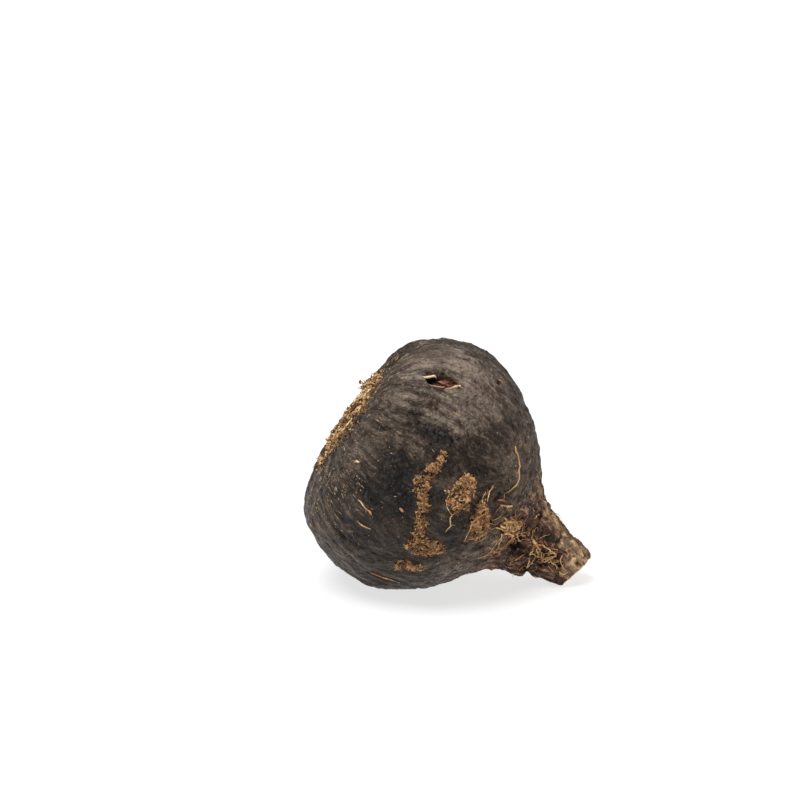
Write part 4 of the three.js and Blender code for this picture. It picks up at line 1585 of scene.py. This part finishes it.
def fibre_finish(name, colour, dark, light, blotches=0.9):
    """Dry fibre: blotches is how much its colour changes along each strand."""
    look = Finish(name)
    at = look.millimetres()
    patchy = look.noise(at, 1.6, 3.0)
    fine = look.noise(at, 7.0, 3.0)
    own = look.value("tint") * 0.75 + (patchy - 0.5) * blotches + 0.12
    base = own.between(0.0, 0.5).mix(dark, colour)
    base = own.between(0.55, 1.0).mix(base, light)
    base = (fine.between(0.5, 0.7) * 0.5).mix(base, dark)
    look.set(Specular_IOR_Level=0.3)
    return look.set(Base_Color=base, Roughness=0.7, Normal=look.bump(fine, 0.05))


def soil_finish(colours):
    """Dry crumbly soil with pale grains, and painted shade in its hollows."""
    look = Finish("Maca soil")
    at = look.millimetres()
    grains = look.cells(at, 3.4)
    speck = look.noise(at, 5.0, 4.0, 0.7)
    broad = look.noise(at, 1.3, 3.0)
    base = broad.between(0.4, 0.6).mix(tint(120, 82, 52), colours.soil)
    base = (look.value("tint").between(0.4, 1.1) * 0.8).mix(base, tint(224, 174, 124))
    base = ((1 - look.value("tint").between(0.0, 0.35)) * 0.7).mix(base, tint(84, 56, 38))
    base = speck.between(0.52, 0.68).mix(base, tint(236, 200, 154))
    base = ((1 - speck.between(0.36, 0.46)) * 0.85).mix(base, tint(52, 38, 29))
    # Painted shade in the holes and low parts of the cakes; some crumbs, picked at random, are darkened as
    # well.
    base = look.value("deep").mix(base, tint(36, 21, 16))
    look.set(Specular_IOR_Level=0.2)
    return look.set(Base_Color=base, Roughness=0.92, Normal=look.bump(broad + grains * 0.3, 0.5))


def floor_finish(colours):
    """A plain matt floor, so bright that it looks nearly white."""
    look = Finish("Studio floor")
    at = look.node("TexCoord", None, None, "Object")
    faint = look.noise(at, 3.0, 2.0)
    base = (faint * 0.1).mix(tint(150, 150, 150), tint(140, 140, 140))
    glow = {"Emission_Color": solid(colours.floor), "Emission_Strength": 0.75}
    return look.set(Base_Color=base, Roughness=0.9, **glow)


# ---- The stage: lengths here are metres ----

FLOOR_RADIUS = 12
FLOOR_SIDES = 64
SKY_STRENGTH = 0.13  # soft light from all round
CAMERA_RISE = math.radians(14)  # how far the camera looks down
CAMERA_DISTANCE = 0.411
CAMERA_TARGET = (0.00907, 0.00085184, 0.0034144)  # from the middle of the crown's rim

# Lights: place, power and how wide they look, in degrees.
LIGHTS = {"key": ((-0.25, -0.35, 0.9), 3.2, 30), "back": ((0.2, 0.45, 0.85), 1.0, 50)}


def aim(piece, target):
    """Turns a camera or a light to look at a place."""
    piece.rotation_euler = (Vector(target) - piece.location).to_track_quat("-Z", "Y").to_euler()


def add_light(name, place, power, spread):
    """A broad soft light from far away: spread is how wide it looks, in degrees."""
    light = bpy.data.lights.new(name, "SUN")
    light.angle = math.radians(spread)
    light.energy = power
    lamp = bpy.data.objects.new(name, light)
    lamp.location = place
    bpy.context.scene.collection.objects.link(lamp)
    aim(lamp, (0, 0, 0.02))


def build_stage(colours):
    """The floor, the soft light and the camera."""
    scene = bpy.context.scene
    scene.view_settings.view_transform = "Standard"
    angle = np.linspace(0, 2 * math.pi, FLOOR_SIDES, endpoint=False)
    disc = [(FLOOR_RADIUS * math.cos(a), FLOOR_RADIUS * math.sin(a), 0) for a in angle]
    mesh = bpy.data.meshes.new("floor")
    mesh.from_pydata(disc, [], [list(range(FLOOR_SIDES))])
    mesh.materials.append(floor_finish(colours))
    floor = bpy.data.objects.new("floor", mesh)
    scene.collection.objects.link(floor)

    world = bpy.data.worlds.new("Studio")
    world.use_nodes = True
    background = world.node_tree.nodes["Background"]
    background.inputs["Color"].default_value = (1, 1, 1, 1)
    background.inputs["Strength"].default_value = SKY_STRENGTH
    scene.world = world

    for name, light in LIGHTS.items():
        add_light(name, *light)

    # The camera looks at the root from the side that bearing 90 faces, and from a little above.
    target = Vector(CROWN * MM) + Vector(CAMERA_TARGET)
    lens = bpy.data.cameras.new("camera")
    lens.lens = 100
    lens.dof.use_dof = False
    camera = bpy.data.objects.new("camera", lens)
    camera.location = target + Vector((0, -math.cos(CAMERA_RISE), math.sin(CAMERA_RISE))) * CAMERA_DISTANCE
    scene.collection.objects.link(camera)
    aim(camera, target)
    scene.camera = camera


# ---- The add-on ----


class MACA_OT_skin(bpy.types.Operator):
    """Adds the root: crown, skin and tail, with lumps, wrinkles, furrows and pits"""

    bl_idname = "maca.skin"
    bl_label = "Root body"

    def execute(self, context):
        build_skin(context.scene.maca_sizes, context.scene.maca_colours)
        return {"FINISHED"}


class MACA_OT_leaf_bases(bpy.types.Operator):
    """Adds the dried leaf bases of the crown"""

    bl_idname = "maca.leaf_bases"
    bl_label = "Leaf bases"

    def execute(self, context):
        build_leaf_bases(context.scene.maca_colours)
        return {"FINISHED"}


class MACA_OT_crown_fibres(bpy.types.Operator):
    """Adds the torn fibres and crumbs of the crown"""

    bl_idname = "maca.crown_fibres"
    bl_label = "Crown fibres"

    def execute(self, context):
        build_crown_fibres()
        return {"FINISHED"}


class MACA_OT_rootlets(bpy.types.Operator):
    """Adds the thread-like side roots"""

    bl_idname = "maca.rootlets"
    bl_label = "Side roots"

    def execute(self, context):
        build_rootlets(context.scene.maca_sizes, context.scene.maca_colours)
        return {"FINISHED"}


class MACA_OT_hair(bpy.types.Operator):
    """Adds the root hair round the neck and the tail"""

    bl_idname = "maca.hair"
    bl_label = "Root hair"

    def execute(self, context):
        build_hair(context.scene.maca_sizes)
        return {"FINISHED"}


class MACA_OT_soil(bpy.types.Operator):
    """Adds the dried soil"""

    bl_idname = "maca.soil"
    bl_label = "Soil"

    def execute(self, context):
        build_soil(context.scene.maca_sizes, context.scene.maca_colours)
        return {"FINISHED"}


class MACA_OT_flecks(bpy.types.Operator):
    """Adds the pale flecks of dry skin"""

    bl_idname = "maca.flecks"
    bl_label = "Skin flecks"

    def execute(self, context):
        build_flecks(context.scene.maca_sizes, context.scene.maca_colours)
        return {"FINISHED"}


class MACA_OT_stage(bpy.types.Operator):
    """Adds the floor, the lights and the camera"""

    bl_idname = "maca.stage"
    bl_label = "Studio"

    def execute(self, context):
        build_stage(context.scene.maca_colours)
        return {"FINISHED"}


OPERATORS = (
    MACA_OT_stage,
    MACA_OT_skin,
    MACA_OT_leaf_bases,
    MACA_OT_crown_fibres,
    MACA_OT_rootlets,
    MACA_OT_hair,
    MACA_OT_soil,
    MACA_OT_flecks,
)


class MACA_PT_panel(bpy.types.Panel):
    """Lists the pieces of the root and what can be changed"""

    bl_idname = "MACA_PT_panel"
    bl_label = "Black maca root"
    bl_space_type = "VIEW_3D"
    bl_region_type = "UI"
    bl_category = "Maca"

    def draw(self, context):
        layout = self.layout
        for group in (context.scene.maca_sizes, context.scene.maca_colours):
            for name in group.bl_rna.properties.keys():
                if name not in ("rna_type", "name"):
                    layout.prop(group, name)
        for operator in OPERATORS:
            layout.operator(operator.bl_idname)


CLASSES = (MacaSizes, MacaColours, *OPERATORS, MACA_PT_panel)


def register():
    for item in CLASSES:
        bpy.utils.register_class(item)
    bpy.types.Scene.maca_sizes = PointerProperty(type=MacaSizes)
    bpy.types.Scene.maca_colours = PointerProperty(type=MacaColours)


def unregister():
    del bpy.types.Scene.maca_colours
    del bpy.types.Scene.maca_sizes
    for item in reversed(CLASSES):
        bpy.utils.unregister_class(item)


def main():
    register()
    bpy.ops.maca.stage()
    bpy.ops.maca.skin()
    bpy.ops.maca.leaf_bases()
    bpy.ops.maca.crown_fibres()
    bpy.ops.maca.rootlets()
    bpy.ops.maca.hair()
    bpy.ops.maca.soil()
    bpy.ops.maca.flecks()


if __name__ == "__main__":
    main()
